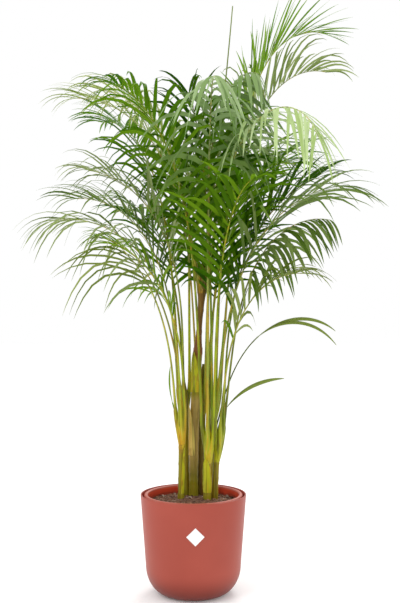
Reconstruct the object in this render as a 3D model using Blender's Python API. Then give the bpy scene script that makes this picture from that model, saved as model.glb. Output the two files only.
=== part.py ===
"""Areca palm in a round plastic pot: seven canes with their fronds, potting soil and two nested pots.

Sizes are in metres. +Z is up, the origin is the middle of the pot's base, and the show side faces -Y.
"""
import math

import bmesh
import bpy
import numpy as np
from mathutils import Matrix, Vector
from mathutils.bvhtree import BVHTree
from mathutils.kdtree import KDTree

# ---------------------------------------------------------------- driving dimensions
GAP = 0.0004                # left between pieces that touch

POT_HEIGHT = 0.215
POT_RIM_RADIUS = 0.115
POT_SHOULDER_RADIUS = 0.1035
POT_SHOULDER_HEIGHT = 0.063
POT_BASE_RADIUS = 0.056
POT_WALL = 0.003
POT_FLOOR = 0.004
POT_RIM_CHAMFER = 0.001
FOOT_RING_INNER_RADIUS = 0.046
CENTRE_PAD_RADIUS = 0.030
FOOT_RECESS = 0.002

NURSERY_LIP_RADIUS = 0.107
NURSERY_MOUTH_RADIUS = 0.099
NURSERY_WALL_TOP_RADIUS = 0.104
NURSERY_HEEL_RADIUS = 0.078
NURSERY_FOOT_RADIUS = 0.050
NURSERY_HEEL_RISE = 0.021
NURSERY_WALL = 0.002
NURSERY_LIP_HEIGHT = 0.016
NURSERY_LIP_CHAMFER = 0.002
NURSERY_LIP_FOLD = 0.006      # how far the lip's inner side reaches above the wall's top
DRAIN_HOLES = 6
DRAIN_HOLE_RADIUS = 0.006
DRAIN_RING_RADIUS = 0.034

SOIL_EDGE_HEIGHT = 0.196
SOIL_MOUND = 0.009
CANE_FOOT_HEIGHT = 0.143    # how deep the canes reach into the soil

LABEL_DIAGONAL = 0.038
LABEL_THICKNESS = 0.0008
LABEL_X = 0.005
LABEL_HEIGHT = 0.147

# name: foot (x, y), top (x, y, z), radius, how late the cane leans (1 straight, 2 late)
CANES = {
    "cane_1": ((-0.027, 0.004), (-0.025, 0.006, 0.378), 0.0072, 1),
    "cane_2": ((0, 0.034), (0.026, 0.026, 0.733), 0.0105, 2),
    "cane_3": ((0.015, 0.052), (0.022, 0.058, 0.493), 0.008, 1),
    "cane_4": ((0.03, -0.004), (0.032, 0, 0.348), 0.0085, 1),
    "cane_5": ((0.046, 0.014), (0.054, 0.012, 0.353), 0.0072, 1),
    "cane_6": ((-0.018, 0.05), (-0.022, 0.056, 0.453), 0.008, 1),
    "cane_7": ((0.038, 0.05), (0.046, 0.06, 0.433), 0.0075, 1),
}
CANE_SIDES = 10
CANE_STEP = 0.045

# A frond leaves its cane at a height, and its stalk's tilt from the vertical is lean + bend * s ** power,
# where s runs from 0 at the cane to 1 at the tip. Heading 0 is +X, 90 is +Y (the back), angles in degrees.
# The last five columns are the leaflets: pairs, length, how far they give way to their weight, how late along
# their length they do so, and the angle that their two rows stand up out of the frond's plane, or hang below it.
# name, cane, height, heading, lean, bend, power, length, bare share, pairs, leaflet length, droop, limp, rise
FRONDS = [
    ("frond_low_left_front", "cane_1", 0.363, 186, 3, 44, 2.0, 0.42, 0.7, 5, 0.22, 2.1, 1.7, -34),
    ("frond_low_left_back", "cane_1", 0.353, 170, 5, 34, 2.0, 0.4, 0.78, 3, 0.21, 2.0, 1.7, -34),
    ("frond_left_sweep", "cane_1", 0.373, 186, -1, 100, 2.0, 0.585, 0.46, 11, 0.21, 2.1, 1.8, 5),
    ("frond_left_young", "cane_1", 0.363, 198, 2, 70, 2.2, 0.47, 0.5, 9, 0.15, 1.3, 1.6, 15),
    ("frond_left_high", "cane_3", 0.453, 178, 3, 88, 3.2, 0.76, 0.5, 12, 0.18, 1.2, 2.0, 15),
    ("frond_left_mid_front", "cane_6", 0.413, 192, 0, 84, 2.6, 0.6, 0.48, 11, 0.18, 1.4, 2.0, 20),
    ("frond_left_mid_back", "cane_6", 0.403, 168, 3, 90, 2.6, 0.58, 0.46, 11, 0.18, 1.4, 2.0, 20),
    ("frond_centre_crown", "cane_2", 0.698, 302, 0, 120, 3.2, 0.52, 0.44, 9, 0.17, 3.0, 0.8, -10),
    ("frond_centre_left_front", "cane_4", 0.343, 235, 4, 78, 3.2, 0.82, 0.5, 12, 0.18, 1.7, 1.8, 25),
    ("frond_centre_front", "cane_4", 0.333, 272, 3, 112, 4.2, 0.88, 0.56, 10, 0.19, 3.0, 1.0, 0),
    ("frond_centre_upright", "cane_5", 0.343, 255, 2, 56, 3.2, 0.76, 0.4, 12, 0.18, 1.3, 1.8, 25),
    ("frond_crown_back_left", "cane_2", 0.693, 172, 8, 72, 2.6, 0.5, 0.3, 12, 0.18, 1.8, 2.0, 25),
    ("frond_crown_back_right", "cane_2", 0.703, 60, 8, 76, 2.4, 0.42, 0.3, 11, 0.17, 1.2, 2.0, 25),
    ("frond_right_plume", "cane_7", 0.413, 8, 5.3, 102, 7.2, 0.93, 0.6, 12, 0.16, 0.3, 1.5, 20),
    ("frond_right_high_back", "cane_7", 0.403, 22, 4.6, 94, 4.8, 0.89, 0.54, 12, 0.16, 1.1, 2.0, 25),
    ("frond_right_pale", "cane_3", 0.443, 299, 2, 150, 2.5, 0.87, 0.58, 11, 0.17, 1.8, 1.0, -15),
    ("frond_right_dark", "cane_5", 0.343, 345, 2, 66, 2.6, 0.62, 0.44, 11, 0.19, 0.9, 2.0, 20),
    ("frond_right_front", "cane_5", 0.333, 340, 5, 72, 2.6, 0.63, 0.55, 10, 0.25, 1.2, 1.6, 5),
    ("frond_right_low", "cane_5", 0.323, 345, 6, 98, 3.6, 0.6, 0.6, 10, 0.135, 3.0, 0.8, -10),
    ("frond_right_low_front", "cane_5", 0.323, 344, 5, 92, 3.0, 0.46, 0.5, 9, 0.15, 1.4, 2.0, 15),
    ("frond_front_right", "cane_4", 0.323, 290, 4, 82, 3.4, 0.64, 0.54, 10, 0.17, 0.9, 1.6, 20),
    ("frond_right_inner_back", "cane_7", 0.423, 62, 4, 100, 3.0, 0.74, 0.5, 11, 0.18, 1.2, 1.8, 25),
    ("frond_back_centre", "cane_6", 0.413, 92, 6, 84, 2.4, 0.74, 0.48, 12, 0.19, 0.9, 1.8, 25),
    ("frond_back_left", "cane_6", 0.423, 128, 5, 82, 2.8, 0.8, 0.48, 12, 0.18, 1.0, 1.8, 25),
    ("frond_back_right", "cane_3", 0.423, 48, 6, 88, 2.4, 0.72, 0.48, 12, 0.18, 0.8, 1.8, 25),
    ("frond_back_low_left", "cane_6", 0.393, 124, 6, 84, 2.6, 0.58, 0.48, 10, 0.17, 0.9, 1.8, 25),
    ("frond_back_low_right", "cane_7", 0.373, 78, 8, 88, 2.4, 0.56, 0.48, 10, 0.17, 0.9, 1.8, 25),
]
STALK_BASE_RADIUS = 0.0045
STALK_FIRST_LEAFLET_RADIUS = 0.0024
STALK_TIP_RADIUS = 0.0009
STALK_ROOM = 0.002          # air kept between two stalks
STALK_STEP = 0.004          # spacing of the points along a stalk
BLADE_STEM_RADIUS = 0.0016
BLADE_TIP_RADIUS = 0.001
THINNEST = 0.0004           # half the thickness where a blade runs out
SHEATH_POST_RADIUS = 0.003  # the room that a sheath takes beside its cane, on top of half its flare
PUSH_SHARE = 0.6            # how much of a missing gap one round of pushing makes up
PUSH_LIFT = 0.3             # how much of a push may move a stalk up or down
SEAT_SPACING = 62           # degrees round the cane between two stalks that leave it
BARE_STATIONS = 5
LEAFLET_WIDTH = 0.012
LEAFLET_THICKNESS = 0.0014
LEAFLET_OPENING = (52, 22)  # degrees from the stalk, at the first leaflet and at the last
LEAFLET_KNEE = 0.5          # where along its length a leaflet changes direction
LEAFLET_MARGIN = 0.0012     # air kept round a leaflet

# The leaves that aren't feathered: an unopened spear and three small blades.
# name, cane, height, heading, lean, bend, power, length, bare share, width, thickness, roll
BLADES = [
    ("spear_leaf", "cane_2", 0.7335, 0, 7.5, -2.5, 1.0, 0.555, 0.1, 0.007, 0.0045, 0),
    ("small_leaf_left", "cane_1", 0.368, 180, 24, -30, 1.0, 0.125, 0.35, 0.008, 0.0016, 60),
    ("small_leaf_right_low", "cane_5", 0.351, 0, 5, 85, 0.8, 0.2, 0.25, 0.012, 0.0016, 60),
    ("small_leaf_right_high", "cane_5", 0.328, 0, 12, 122, 2.2, 0.44, 0.58, 0.011, 0.0016, 55),
]

# Dry remains of old leaf sheaths: cane, foot height, tip height, facing, arc in degrees, flare at the tip
SHEATHS = {
    "dry_sheath_low": ("cane_2", 0.293, 0.409, 205, 150, 0.006),
    "dry_sheath_high": ("cane_2", 0.433, 0.523, 235, 130, 0.004),
    "split_sheath": ("cane_4", 0.218, 0.293, 250, 190, 0.003),
    "dry_strip": ("cane_1", 0.215, 0.315, 300, 60, 0.004),
}
SHEATH_THICKNESS = 0.0010


# ---------------------------------------------------------------- helpers
def clear_scene():
    for obj in list(bpy.data.objects):
        bpy.data.objects.remove(obj, do_unlink=True)


def material(name, colour, roughness):
    mat = bpy.data.materials.new(name)
    mat.use_nodes = True
    shader = mat.node_tree.nodes["Principled BSDF"]
    shader.inputs["Base Color"].default_value = (*colour, 1)
    shader.inputs["Roughness"].default_value = roughness
    shader.inputs["Metallic"].default_value = 0
    mat.diffuse_color = (*colour, 1)
    return mat


def add_object(name, bm, mat, smooth_angle=40):
    """Turn a bmesh into a named object at the origin."""
    bmesh.ops.recalc_face_normals(bm, faces=bm.faces[:])
    mesh = bpy.data.meshes.new(name)
    bm.to_mesh(mesh)
    bm.free()
    mesh.shade_smooth()
    mesh.set_sharp_from_angle(angle=math.radians(smooth_angle))
    mesh.materials.append(mat)
    obj = bpy.data.objects.new(name, mesh)
    bpy.context.collection.objects.link(obj)
    return obj


def turned(profile, segments):
    """Spin an outline that starts and ends on the axis into one closed solid."""
    bm = bmesh.new()
    verts = [bm.verts.new((radius, 0, height)) for radius, height in profile]
    edges = [bm.edges.new(pair) for pair in zip(verts, verts[1:])]
    bmesh.ops.spin(bm, geom=verts + edges, cent=(0, 0, 0), axis=(0, 0, 1), angle=math.tau,
                   steps=segments, use_merge=True, use_duplicate=False)
    bmesh.ops.remove_doubles(bm, verts=bm.verts[:], dist=1e-6)
    return bm


def cut_with(obj, cutter_bm, name):
    """Subtract a closed shape from an object."""
    mesh = bpy.data.meshes.new(name)
    bmesh.ops.recalc_face_normals(cutter_bm, faces=cutter_bm.faces[:])
    cutter_bm.to_mesh(mesh)
    cutter_bm.free()
    cutter = bpy.data.objects.new(name, mesh)
    cutter.hide_render = True
    cutter.display_type = "WIRE"
    bpy.context.collection.objects.link(cutter)
    cut = obj.modifiers.new(name, "BOOLEAN")
    cut.operation = "DIFFERENCE"
    cut.solver = "EXACT"
    cut.object = cutter


def extruded_tube(sides, frames):
    """Extrude a regular section through a list of frames. Returns the bmesh and its rings of vertices.

    Each frame is a matrix whose columns are the section's width, its height, the way ahead and the centre.
    """
    bm = bmesh.new()
    start = bmesh.ops.create_circle(bm, cap_ends=True, segments=sides, radius=1,
                                    matrix=frames[0] @ Matrix.Rotation(math.pi, 4, "Z"))
    end = start["verts"][0].link_faces[0]
    first = end
    rings = [ring_in_order(start["verts"], frames[0])]
    for before, after in zip(frames, frames[1:]):
        grown = bmesh.ops.extrude_face_region(bm, geom=[end])["geom"]
        verts = [item for item in grown if isinstance(item, bmesh.types.BMVert)]
        if end.is_valid and end is not first:
            bmesh.ops.delete(bm, geom=[end], context="FACES_ONLY")
        end = next(item for item in grown if isinstance(item, bmesh.types.BMFace)
                   and set(item.verts) == set(verts))
        bmesh.ops.transform(bm, matrix=after @ before.inverted(), verts=verts)
        rings.append(ring_in_order(verts, after))
    return bm, rings


def ring_in_order(verts, frame):
    """The section's vertices, in the order of their angle round the way ahead."""
    inverse = frame.inverted()

    def angle(vert):
        local = inverse @ vert.co
        return math.atan2(local.y, local.x)
    return sorted(verts, key=angle)


# ---------------------------------------------------------------- pots and soil
def pot_radius(height):
    """The outer pot's outside radius at a height: a straight flared wall on a rounded bottom."""
    if height >= POT_SHOULDER_HEIGHT:
        share = (height - POT_SHOULDER_HEIGHT) / (POT_HEIGHT - POT_SHOULDER_HEIGHT)
        return POT_SHOULDER_RADIUS + (POT_RIM_RADIUS - POT_SHOULDER_RADIUS) * share
    depth = 1 - height / POT_SHOULDER_HEIGHT
    return POT_BASE_RADIUS + (POT_SHOULDER_RADIUS - POT_BASE_RADIUS) * math.sqrt(1 - depth * depth)


def pot_side(offset, floor):
    """Outline of the pot's side from the floor's edge up to the rim, moved in by an offset."""
    turn = 6
    heights = [POT_SHOULDER_HEIGHT * (1 - math.cos(math.pi / 2 * i / turn)) for i in range(turn + 1)]
    points = [(pot_radius(h) - offset, h + floor * (1 - h / POT_SHOULDER_HEIGHT)) for h in heights]
    return points


def build_outer_pot():
    outline = [(0, 0), (CENTRE_PAD_RADIUS, 0), (CENTRE_PAD_RADIUS + FOOT_RECESS, FOOT_RECESS),
               (FOOT_RING_INNER_RADIUS - FOOT_RECESS, FOOT_RECESS), (FOOT_RING_INNER_RADIUS, 0)]
    outline += pot_side(0, 0)
    rim_inner, below = POT_RIM_RADIUS - POT_WALL, POT_HEIGHT - POT_RIM_CHAMFER
    outline += [(POT_RIM_RADIUS, below), (POT_RIM_RADIUS - POT_RIM_CHAMFER, POT_HEIGHT),
                (rim_inner + POT_RIM_CHAMFER, POT_HEIGHT), (rim_inner, below)]
    outline += reversed(pot_side(POT_WALL, POT_FLOOR))
    outline += [(0, POT_FLOOR)]
    return add_object("outer_pot", turned(outline, 44), material("rust_plastic", (0.48, 0.10, 0.075), 0.45))


def nursery_inside():
    """Outline of the nursery pot's inside, from the middle of its floor up to its lip."""
    foot = POT_FLOOR + GAP
    return [(0, foot + NURSERY_WALL), (NURSERY_FOOT_RADIUS - NURSERY_WALL, foot + NURSERY_WALL),
            (NURSERY_HEEL_RADIUS - NURSERY_WALL, foot + NURSERY_HEEL_RISE + NURSERY_WALL),
            (NURSERY_WALL_TOP_RADIUS - NURSERY_WALL, POT_HEIGHT - NURSERY_LIP_HEIGHT)]


def build_nursery_pot():
    foot = POT_FLOOR + GAP
    lip = POT_HEIGHT - NURSERY_LIP_HEIGHT
    outline = [(0, foot), (NURSERY_FOOT_RADIUS, foot), (NURSERY_HEEL_RADIUS, foot + NURSERY_HEEL_RISE),
               (NURSERY_WALL_TOP_RADIUS, lip), (NURSERY_LIP_RADIUS, lip + NURSERY_LIP_CHAMFER),
               (NURSERY_LIP_RADIUS, POT_HEIGHT - NURSERY_LIP_CHAMFER),
               (NURSERY_LIP_RADIUS - NURSERY_LIP_CHAMFER, POT_HEIGHT),
               (NURSERY_MOUTH_RADIUS + NURSERY_LIP_CHAMFER, POT_HEIGHT),
               (NURSERY_MOUTH_RADIUS, POT_HEIGHT - NURSERY_LIP_CHAMFER),
               (NURSERY_MOUTH_RADIUS, lip + NURSERY_LIP_FOLD)]
    outline += reversed(nursery_inside())
    pot = add_object("nursery_pot", turned(outline, 40), material("nursery_plastic", (0.52, 0.14, 0.09), 0.5))
    holes = bmesh.new()
    for i in range(DRAIN_HOLES):
        turn = Matrix.Rotation(math.tau * i / DRAIN_HOLES, 4, "Z")
        place = turn @ Matrix.Translation((DRAIN_RING_RADIUS, 0, foot + NURSERY_WALL / 2))
        bmesh.ops.create_cone(holes, cap_ends=True, segments=12, radius1=DRAIN_HOLE_RADIUS,
                              radius2=DRAIN_HOLE_RADIUS, depth=4 * NURSERY_WALL, matrix=place)
    cut_with(pot, holes, "drain_hole_cutter")
    return pot


def soil_height(radius):
    """The soil's surface: level at the wall, heaped a little round the canes."""
    share = min(radius / (NURSERY_WALL_TOP_RADIUS - NURSERY_WALL), 1)
    return SOIL_EDGE_HEIGHT + SOIL_MOUND * (0.5 + 0.5 * math.cos(math.pi * share))


def build_soil():
    outline = [(max(radius - GAP, 0), height + GAP) for radius, height in nursery_inside()[:-1]]
    foot, wall = nursery_inside()[-2], nursery_inside()[-1]
    share = (SOIL_EDGE_HEIGHT - foot[1]) / (wall[1] - foot[1])
    edge = foot[0] + (wall[0] - foot[0]) * share - 2 * GAP
    steps = 6
    outline += [(edge * (1 - i / steps), soil_height(edge * (1 - i / steps))) for i in range(steps + 1)]
    soil = add_object("soil", turned(outline, 36), material("potting_soil", (0.05, 0.03, 0.02), 0.95))
    pockets = bmesh.new()
    for foot_xy, _, radius, _ in CANES.values():
        bottom, top = CANE_FOOT_HEIGHT - GAP, POT_HEIGHT + 0.01
        place = Matrix.Translation((*foot_xy, (bottom + top) / 2))
        bmesh.ops.create_cone(pockets, cap_ends=True, segments=CANE_SIDES, radius1=radius + 2 * GAP,
                              radius2=radius + 2 * GAP, depth=top - bottom, matrix=place)
    cut_with(soil, pockets, "cane_pocket_cutter")
    return soil


def build_label():
    """A blank diamond that follows the pot's wall."""
    bm = bmesh.new()
    side = LABEL_DIAGONAL / math.sqrt(2)
    turn = Matrix.Rotation(math.radians(45), 4, "Z")
    bmesh.ops.create_grid(bm, x_segments=4, y_segments=4, size=side / 2, matrix=turn)
    for vert in bm.verts:
        height = LABEL_HEIGHT + vert.co.y
        radius = pot_radius(height) + GAP
        angle = (LABEL_X + vert.co.x) / radius - math.pi / 2
        vert.co = (radius * math.cos(angle), radius * math.sin(angle), height)
    faces = bm.faces[:]
    skin = bmesh.ops.extrude_face_region(bm, geom=faces)["geom"]
    for vert in (item for item in skin if isinstance(item, bmesh.types.BMVert)):
        outward = Vector((vert.co.x, vert.co.y, 0)).normalized()
        vert.co += outward * LABEL_THICKNESS
    return add_object("blank_label", bm, material("label_white", (0.85, 0.85, 0.83), 0.4))


# ---------------------------------------------------------------- canes
def cane_centre(cane, height):
    (foot_x, foot_y), (top_x, top_y, top_z), _, late = CANES[cane]
    share = max(height - SOIL_EDGE_HEIGHT, 0) / (top_z - SOIL_EDGE_HEIGHT)
    share = share ** late
    return Vector((foot_x + (top_x - foot_x) * share, foot_y + (top_y - foot_y) * share, height))


def level_frame(centre, radius):
    return Matrix.Translation(centre) @ Matrix.Diagonal((radius, radius, 1, 1))


def build_cane(cane, mat):
    top, radius = CANES[cane][1][2], CANES[cane][2]
    steps = math.ceil((top - CANE_FOOT_HEIGHT) / CANE_STEP)
    heights = [CANE_FOOT_HEIGHT + (top - CANE_FOOT_HEIGHT) * i / steps for i in range(steps + 1)]
    frames = [level_frame(cane_centre(cane, height), radius) for height in heights]
    bm, _ = extruded_tube(CANE_SIDES, frames)
    return add_object(cane, bm, mat)


def build_sheath(name, mat):
    """A dry, torn piece of sheath: a part of a sleeve that narrows and leans away towards its tip."""
    cane, foot, tip, facing, arc, flare = SHEATHS[name]
    inner = CANES[cane][2] + 2 * GAP
    columns, rows = 6, 5
    bm = bmesh.new()
    lines = []
    for row in range(rows + 1):
        share = row / rows
        centre = cane_centre(cane, foot + (tip - foot) * share)
        half_arc = math.radians(arc / 2) * (1 - 0.92 * share ** 2)
        radius = inner + flare * share ** 3
        line = []
        for column in range(columns + 1):
            angle = math.radians(facing) + half_arc * (2 * column / columns - 1)
            line.append(bm.verts.new(centre + Vector((math.cos(angle), math.sin(angle), 0)) * radius))
        lines.append([bm.edges.new(pair) for pair in zip(line, line[1:])])
    for lower, upper in zip(lines, lines[1:]):
        bmesh.ops.bridge_loops(bm, edges=lower + upper)
    skin = bmesh.ops.extrude_face_region(bm, geom=bm.faces[:])["geom"]
    for vert in (item for item in skin if isinstance(item, bmesh.types.BMVert)):
        centre = cane_centre(cane, vert.co.z)
        vert.co += (vert.co - centre).normalized() * SHEATH_THICKNESS
    return add_object(name, bm, mat)


# ---------------------------------------------------------------- stalks
def seats(headings, spacing):
    """Angles round a cane for the stalks that leave it: near their headings, and spaced apart."""
    order = sorted(range(len(headings)), key=lambda i: headings[i])
    angles = [float(headings[i]) for i in order]
    for _ in range(200):
        for i in range(len(angles)):
            following = (i + 1) % len(angles)
            wrap = 360 if following == 0 else 0
            short = spacing - (angles[following] + wrap - angles[i])
            if short > 0 and len(angles) > 1:
                angles[i] -= short / 2
                angles[following] += short / 2
    placed = dict(zip(order, angles))
    return [placed[i] for i in range(len(headings))]


def heading_vector(degrees):
    return np.array([math.cos(math.radians(degrees)), math.sin(math.radians(degrees)), 0.0])


def stalk_curve(start, heading, lean, bend, power, length):
    """Points along a stalk that leaves upwards and arches over along its heading."""
    count = round(length / STALK_STEP)
    outward = heading_vector(heading)
    points = [np.array(start, dtype=float)]
    for i in range(count):
        tilt = math.radians(lean + bend * ((i + 0.5) / count) ** power)
        direction = outward * math.sin(tilt) + np.array([0, 0, math.cos(tilt)])
        points.append(points[-1] + direction * length / count)
    return np.array(points)


def stalk_radii(count, bare_share):
    """A stalk's radius at each of its points: swollen where it clasps the cane, fine at the tip."""
    s = np.linspace(0, 1, count)
    return np.interp(s, [0, 0.12, bare_share, 1],
                     [STALK_BASE_RADIUS, 0.72 * STALK_BASE_RADIUS, STALK_FIRST_LEAFLET_RADIUS, STALK_TIP_RADIUS])


def jostle(stalks, posts, rounds=60):
    """Push the stalks apart until each has room. The posts, which are the canes, don't give way."""
    everything = [*stalks, *posts]
    owner = np.concatenate([np.full(len(radii), i) for i, (_, radii) in enumerate(everything)])
    radii = np.concatenate([radii for _, radii in everything])
    widest = radii.max()
    starts = np.cumsum([0] + [len(r) for _, r in everything])
    for _ in range(rounds):
        points = np.concatenate([points for points, _ in everything])
        tree = KDTree(len(points))
        for i, point in enumerate(points):
            tree.insert(point, i)
        tree.balance()
        push = np.zeros_like(points)
        for i in range(starts[len(stalks)]):
            for _, j, distance in tree.find_range(points[i], radii[i] + widest + STALK_ROOM):
                short = radii[i] + radii[j] + STALK_ROOM - distance
                if owner[j] == owner[i] or short <= 0:
                    continue
                away = points[i] - points[j]
                away[2] *= PUSH_LIFT
                share = 1.0 if owner[j] >= len(stalks) else 0.5
                push[i] += away / max(np.linalg.norm(away), 1e-6) * short * share * PUSH_SHARE
        for k, (points_k, _) in enumerate(stalks):
            own = push[starts[k]:starts[k + 1]]
            largest = np.abs(own).max()
            for _ in range(10):
                own[1:-1] = 0.25 * own[:-2] + 0.5 * own[1:-1] + 0.25 * own[2:]
            if np.abs(own).max() > 0:
                own *= min(largest / np.abs(own).max(), 4)
            points_k += own


def along(points, share):
    """The point at a share of a stalk's length, and its direction there."""
    place = share * (len(points) - 1)
    i = min(int(place), len(points) - 2)
    point = points[i] + (points[i + 1] - points[i]) * (place - i)
    low, high = max(i - 2, 0), min(i + 3, len(points) - 1)
    direction = points[high] - points[low]
    return point, direction / np.linalg.norm(direction)


def stalk_frame(points, share, heading, half_width, half_height, roll=0.0):
    """The matrix of a stalk's section: its width lies level, unless rolled, and its height points up."""
    point, ahead = along(points, share)
    outward = heading_vector(heading)
    side = np.array([-outward[1], outward[0], 0])
    side -= ahead * side.dot(ahead)
    side /= np.linalg.norm(side)
    upper = np.cross(ahead, side)
    side, upper = (side * math.cos(roll) + upper * math.sin(roll),
                   upper * math.cos(roll) - side * math.sin(roll))
    frame = Matrix.Identity(4)
    for column, vector in enumerate((side * half_width, upper * half_height, ahead, point)):
        for row in range(3):
            frame[row][column] = vector[row]
    return frame


# ---------------------------------------------------------------- fronds
def leaflet_path(root, ahead, side, upper, opening, rise, length, droop, limp, count=8):
    """A leaflet's midrib: it leaves at an angle to the stalk, and its tip gives way to gravity."""
    direction = ahead * math.cos(opening) + (side * math.cos(rise) + upper * math.sin(rise)) * math.sin(opening)
    points = [root]
    for i in range(count):
        way = direction - droop * ((i + 0.5) / count) ** limp * np.array([0, 0, 1])
        points.append(points[-1] + way / np.linalg.norm(way) * length / count)
    return points


def leaflet_corners(root, ahead, upper, path, margin=0.0):
    """The four corners of the leaflet's knee and its tip, made wider by a margin."""
    knee_at = round(LEAFLET_KNEE * (len(path) - 1))
    knee, tip = path[knee_at], path[-1]
    way = tip - root
    way /= np.linalg.norm(way)
    width = ahead - way * ahead.dot(way)
    width /= np.linalg.norm(width)
    thickness = np.cross(width, way)
    if thickness.dot(upper) < 0:
        thickness = -thickness
    half_width = width * (LEAFLET_WIDTH / 2 + margin)
    half_thickness = thickness * (LEAFLET_THICKNESS / 2 + margin)
    corners = {(a, b): knee + a * half_width + b * half_thickness for a in (-1, 1) for b in (-1, 1)}
    return corners, tip + way * margin


def shell_of(base, corners, tip):
    """The leaflet's outside as a list of points and triangles, to test what it would touch."""
    loop = [(-1, -1), (1, -1), (1, 1), (-1, 1)]
    points = [base[key] for key in loop] + [corners[key] for key in loop] + [tip]
    triangles = []
    for i in range(4):
        j = (i + 1) % 4
        triangles += [(i, j, 4 + j), (i, 4 + j, 4 + i), (4 + i, 4 + j, 8)]
    return points, triangles


class Crowd:
    """The solids already placed, which a new leaflet has to stay clear of."""

    def __init__(self):
        self.trees = {}
        self.points = {}
        self.triangles = {}

    def add(self, name, points, triangles):
        offset = len(self.points.setdefault(name, []))
        self.points[name] += [tuple(point) for point in points]
        self.triangles.setdefault(name, [])
        self.triangles[name] += [tuple(offset + i for i in triangle) for triangle in triangles]
        self.trees[name] = BVHTree.FromPolygons(self.points[name], self.triangles[name])

    def add_object(self, obj):
        obj.data.calc_loop_triangles()
        self.add(obj.name, [vert.co for vert in obj.data.vertices],
                 [tuple(tri.vertices) for tri in obj.data.loop_triangles])

    def touches(self, points, triangles, without):
        tree = BVHTree.FromPolygons([tuple(point) for point in points], triangles)
        return any(name != without and other.overlap(tree) for name, other in self.trees.items())


def leaflet_choices():
    """Ways to place a leaflet, the natural one first: swing, rise, droop and length."""
    for shrink in (1.0, 0.8, 0.6):
        for droop in (1.0, 0.5, 1.6):
            for swing in (0, 6, -6, 12, -12, 18):
                for rise in (0, 12, -14, -28):
                    yield math.radians(swing), math.radians(rise), droop, shrink


def grow_leaflet(bm, rings, segment, side_sign, frame, spec, crowd, name):
    """Extrude one leaflet from a side face of the stalk. Returns False where there is no room."""
    keel, edge_right, edge_left = 0, 1, 2
    edge = edge_right if side_sign > 0 else edge_left
    quad = [rings[segment][keel], rings[segment][edge], rings[segment + 1][keel], rings[segment + 1][edge]]
    face = set.intersection(*(set(vert.link_faces) for vert in quad)).pop()
    ahead = np.array(frame.col[2][:3])
    side = np.array(frame.col[0][:3])
    side *= side_sign / np.linalg.norm(side)
    upper = np.array(frame.col[1][:3])
    upper /= np.linalg.norm(upper)
    root = np.array(face.calc_center_median())
    base = {(-1, -1): quad[0].co, (-1, 1): quad[1].co, (1, -1): quad[2].co, (1, 1): quad[3].co}
    opening, rise, length, droop, limp = spec
    for swing, more_rise, droop_factor, shrink in leaflet_choices():
        path = leaflet_path(root, ahead, side, upper, opening + swing, rise + more_rise,
                            length * shrink, droop * droop_factor, limp)
        room = leaflet_corners(root, ahead, upper, path, margin=LEAFLET_MARGIN)
        if not crowd.touches(*shell_of(base, *room), without=name + "_stalk"):
            break
    else:
        return False
    corners, tip = leaflet_corners(root, ahead, upper, path)
    crowd.add(name, *shell_of(base, corners, tip))
    knee_face = bmesh.ops.extrude_discrete_faces(bm, faces=[face])["faces"][0]
    for vert in knee_face.verts:
        key = min(base, key=lambda k: (base[k] - vert.co).length)
        vert.co = Vector(corners[key])
    centre = bmesh.ops.poke(bm, faces=[knee_face])["verts"][0]
    centre.co = Vector(tip)
    return True


def build_frond(row, points, crowd, mat):
    name, _, _, heading, _, _, _, _, bare, pairs, leaflet_length, droop, limp, rise = row
    radii = stalk_radii(len(points), bare)
    bare_shares = [bare * i / BARE_STATIONS for i in range(BARE_STATIONS)]
    comb_shares = [bare + (1 - bare) * i / (2 * pairs) for i in range(2 * pairs + 1)]
    shares = bare_shares + comb_shares
    frames = []
    for share in shares:
        radius = float(np.interp(share, np.linspace(0, 1, len(points)), radii))
        frames.append(stalk_frame(points, share, heading, radius, radius))
    bm, rings = extruded_tube(3, frames)
    made = 0
    for i in range(2 * pairs):
        q = i / (2 * pairs - 1)
        opening = math.radians(LEAFLET_OPENING[0] + (LEAFLET_OPENING[1] - LEAFLET_OPENING[0]) * q)
        length = leaflet_length * (0.78 + 0.40 * math.sin(math.pi * min(1, 0.85 * q + 0.15)) - 0.25 * q ** 3)
        side_sign = 1 if i % 2 else -1
        spec = (opening, math.radians(rise), length, droop, limp)
        made += grow_leaflet(bm, rings, BARE_STATIONS + i, side_sign, frames[BARE_STATIONS + i], spec, crowd, name)
    print(name, "leaflets", made, "of", 2 * pairs)
    return add_object(name, bm, mat)


def stalk_shell(points, radii, heading):
    """A stalk's outside, simplified, as points and triangles."""
    shares = np.linspace(0, 1, 30)
    frames = []
    for share in shares:
        radius = float(np.interp(share, np.linspace(0, 1, len(points)), radii)) + GAP
        frames.append(stalk_frame(points, share, heading, radius, radius))
    corners = [Vector((math.cos(a), math.sin(a), 0)) for a in (-math.pi / 2, math.pi / 6, 5 * math.pi / 6)]
    verts = [frame @ corner for frame in frames for corner in corners]
    triangles = []
    for i in range(len(frames) - 1):
        for k in range(3):
            a, b = 3 * i + k, 3 * i + (k + 1) % 3
            triangles += [(a, b, b + 3), (a, b + 3, a + 3)]
    return verts, triangles


# ---------------------------------------------------------------- undivided leaves
def build_blade(row, points, mat):
    name, _, _, heading, _, _, _, _, bare, width, thickness, roll = row
    steps = 14
    frames = []
    for i in range(steps + 1):
        share = i / steps
        stem = BLADE_STEM_RADIUS * (1 - 0.3 * share)
        spread = max(0, (share - bare) / (1 - bare))
        swell = math.sin(math.pi * min(1, 0.04 + 0.94 * spread)) ** 0.8 if spread > 0 else 0
        half_width = max(stem * (1 - share ** 4), width / 2 * swell, THINNEST)
        half_height = stem if spread == 0 else max(thickness / 2 * (1 - 0.5 * spread), THINNEST)
        frames.append(stalk_frame(points, share, heading, half_width, half_height, math.radians(roll) * share))
    bm, _ = extruded_tube(4, frames)
    return add_object(name, bm, mat)


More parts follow.
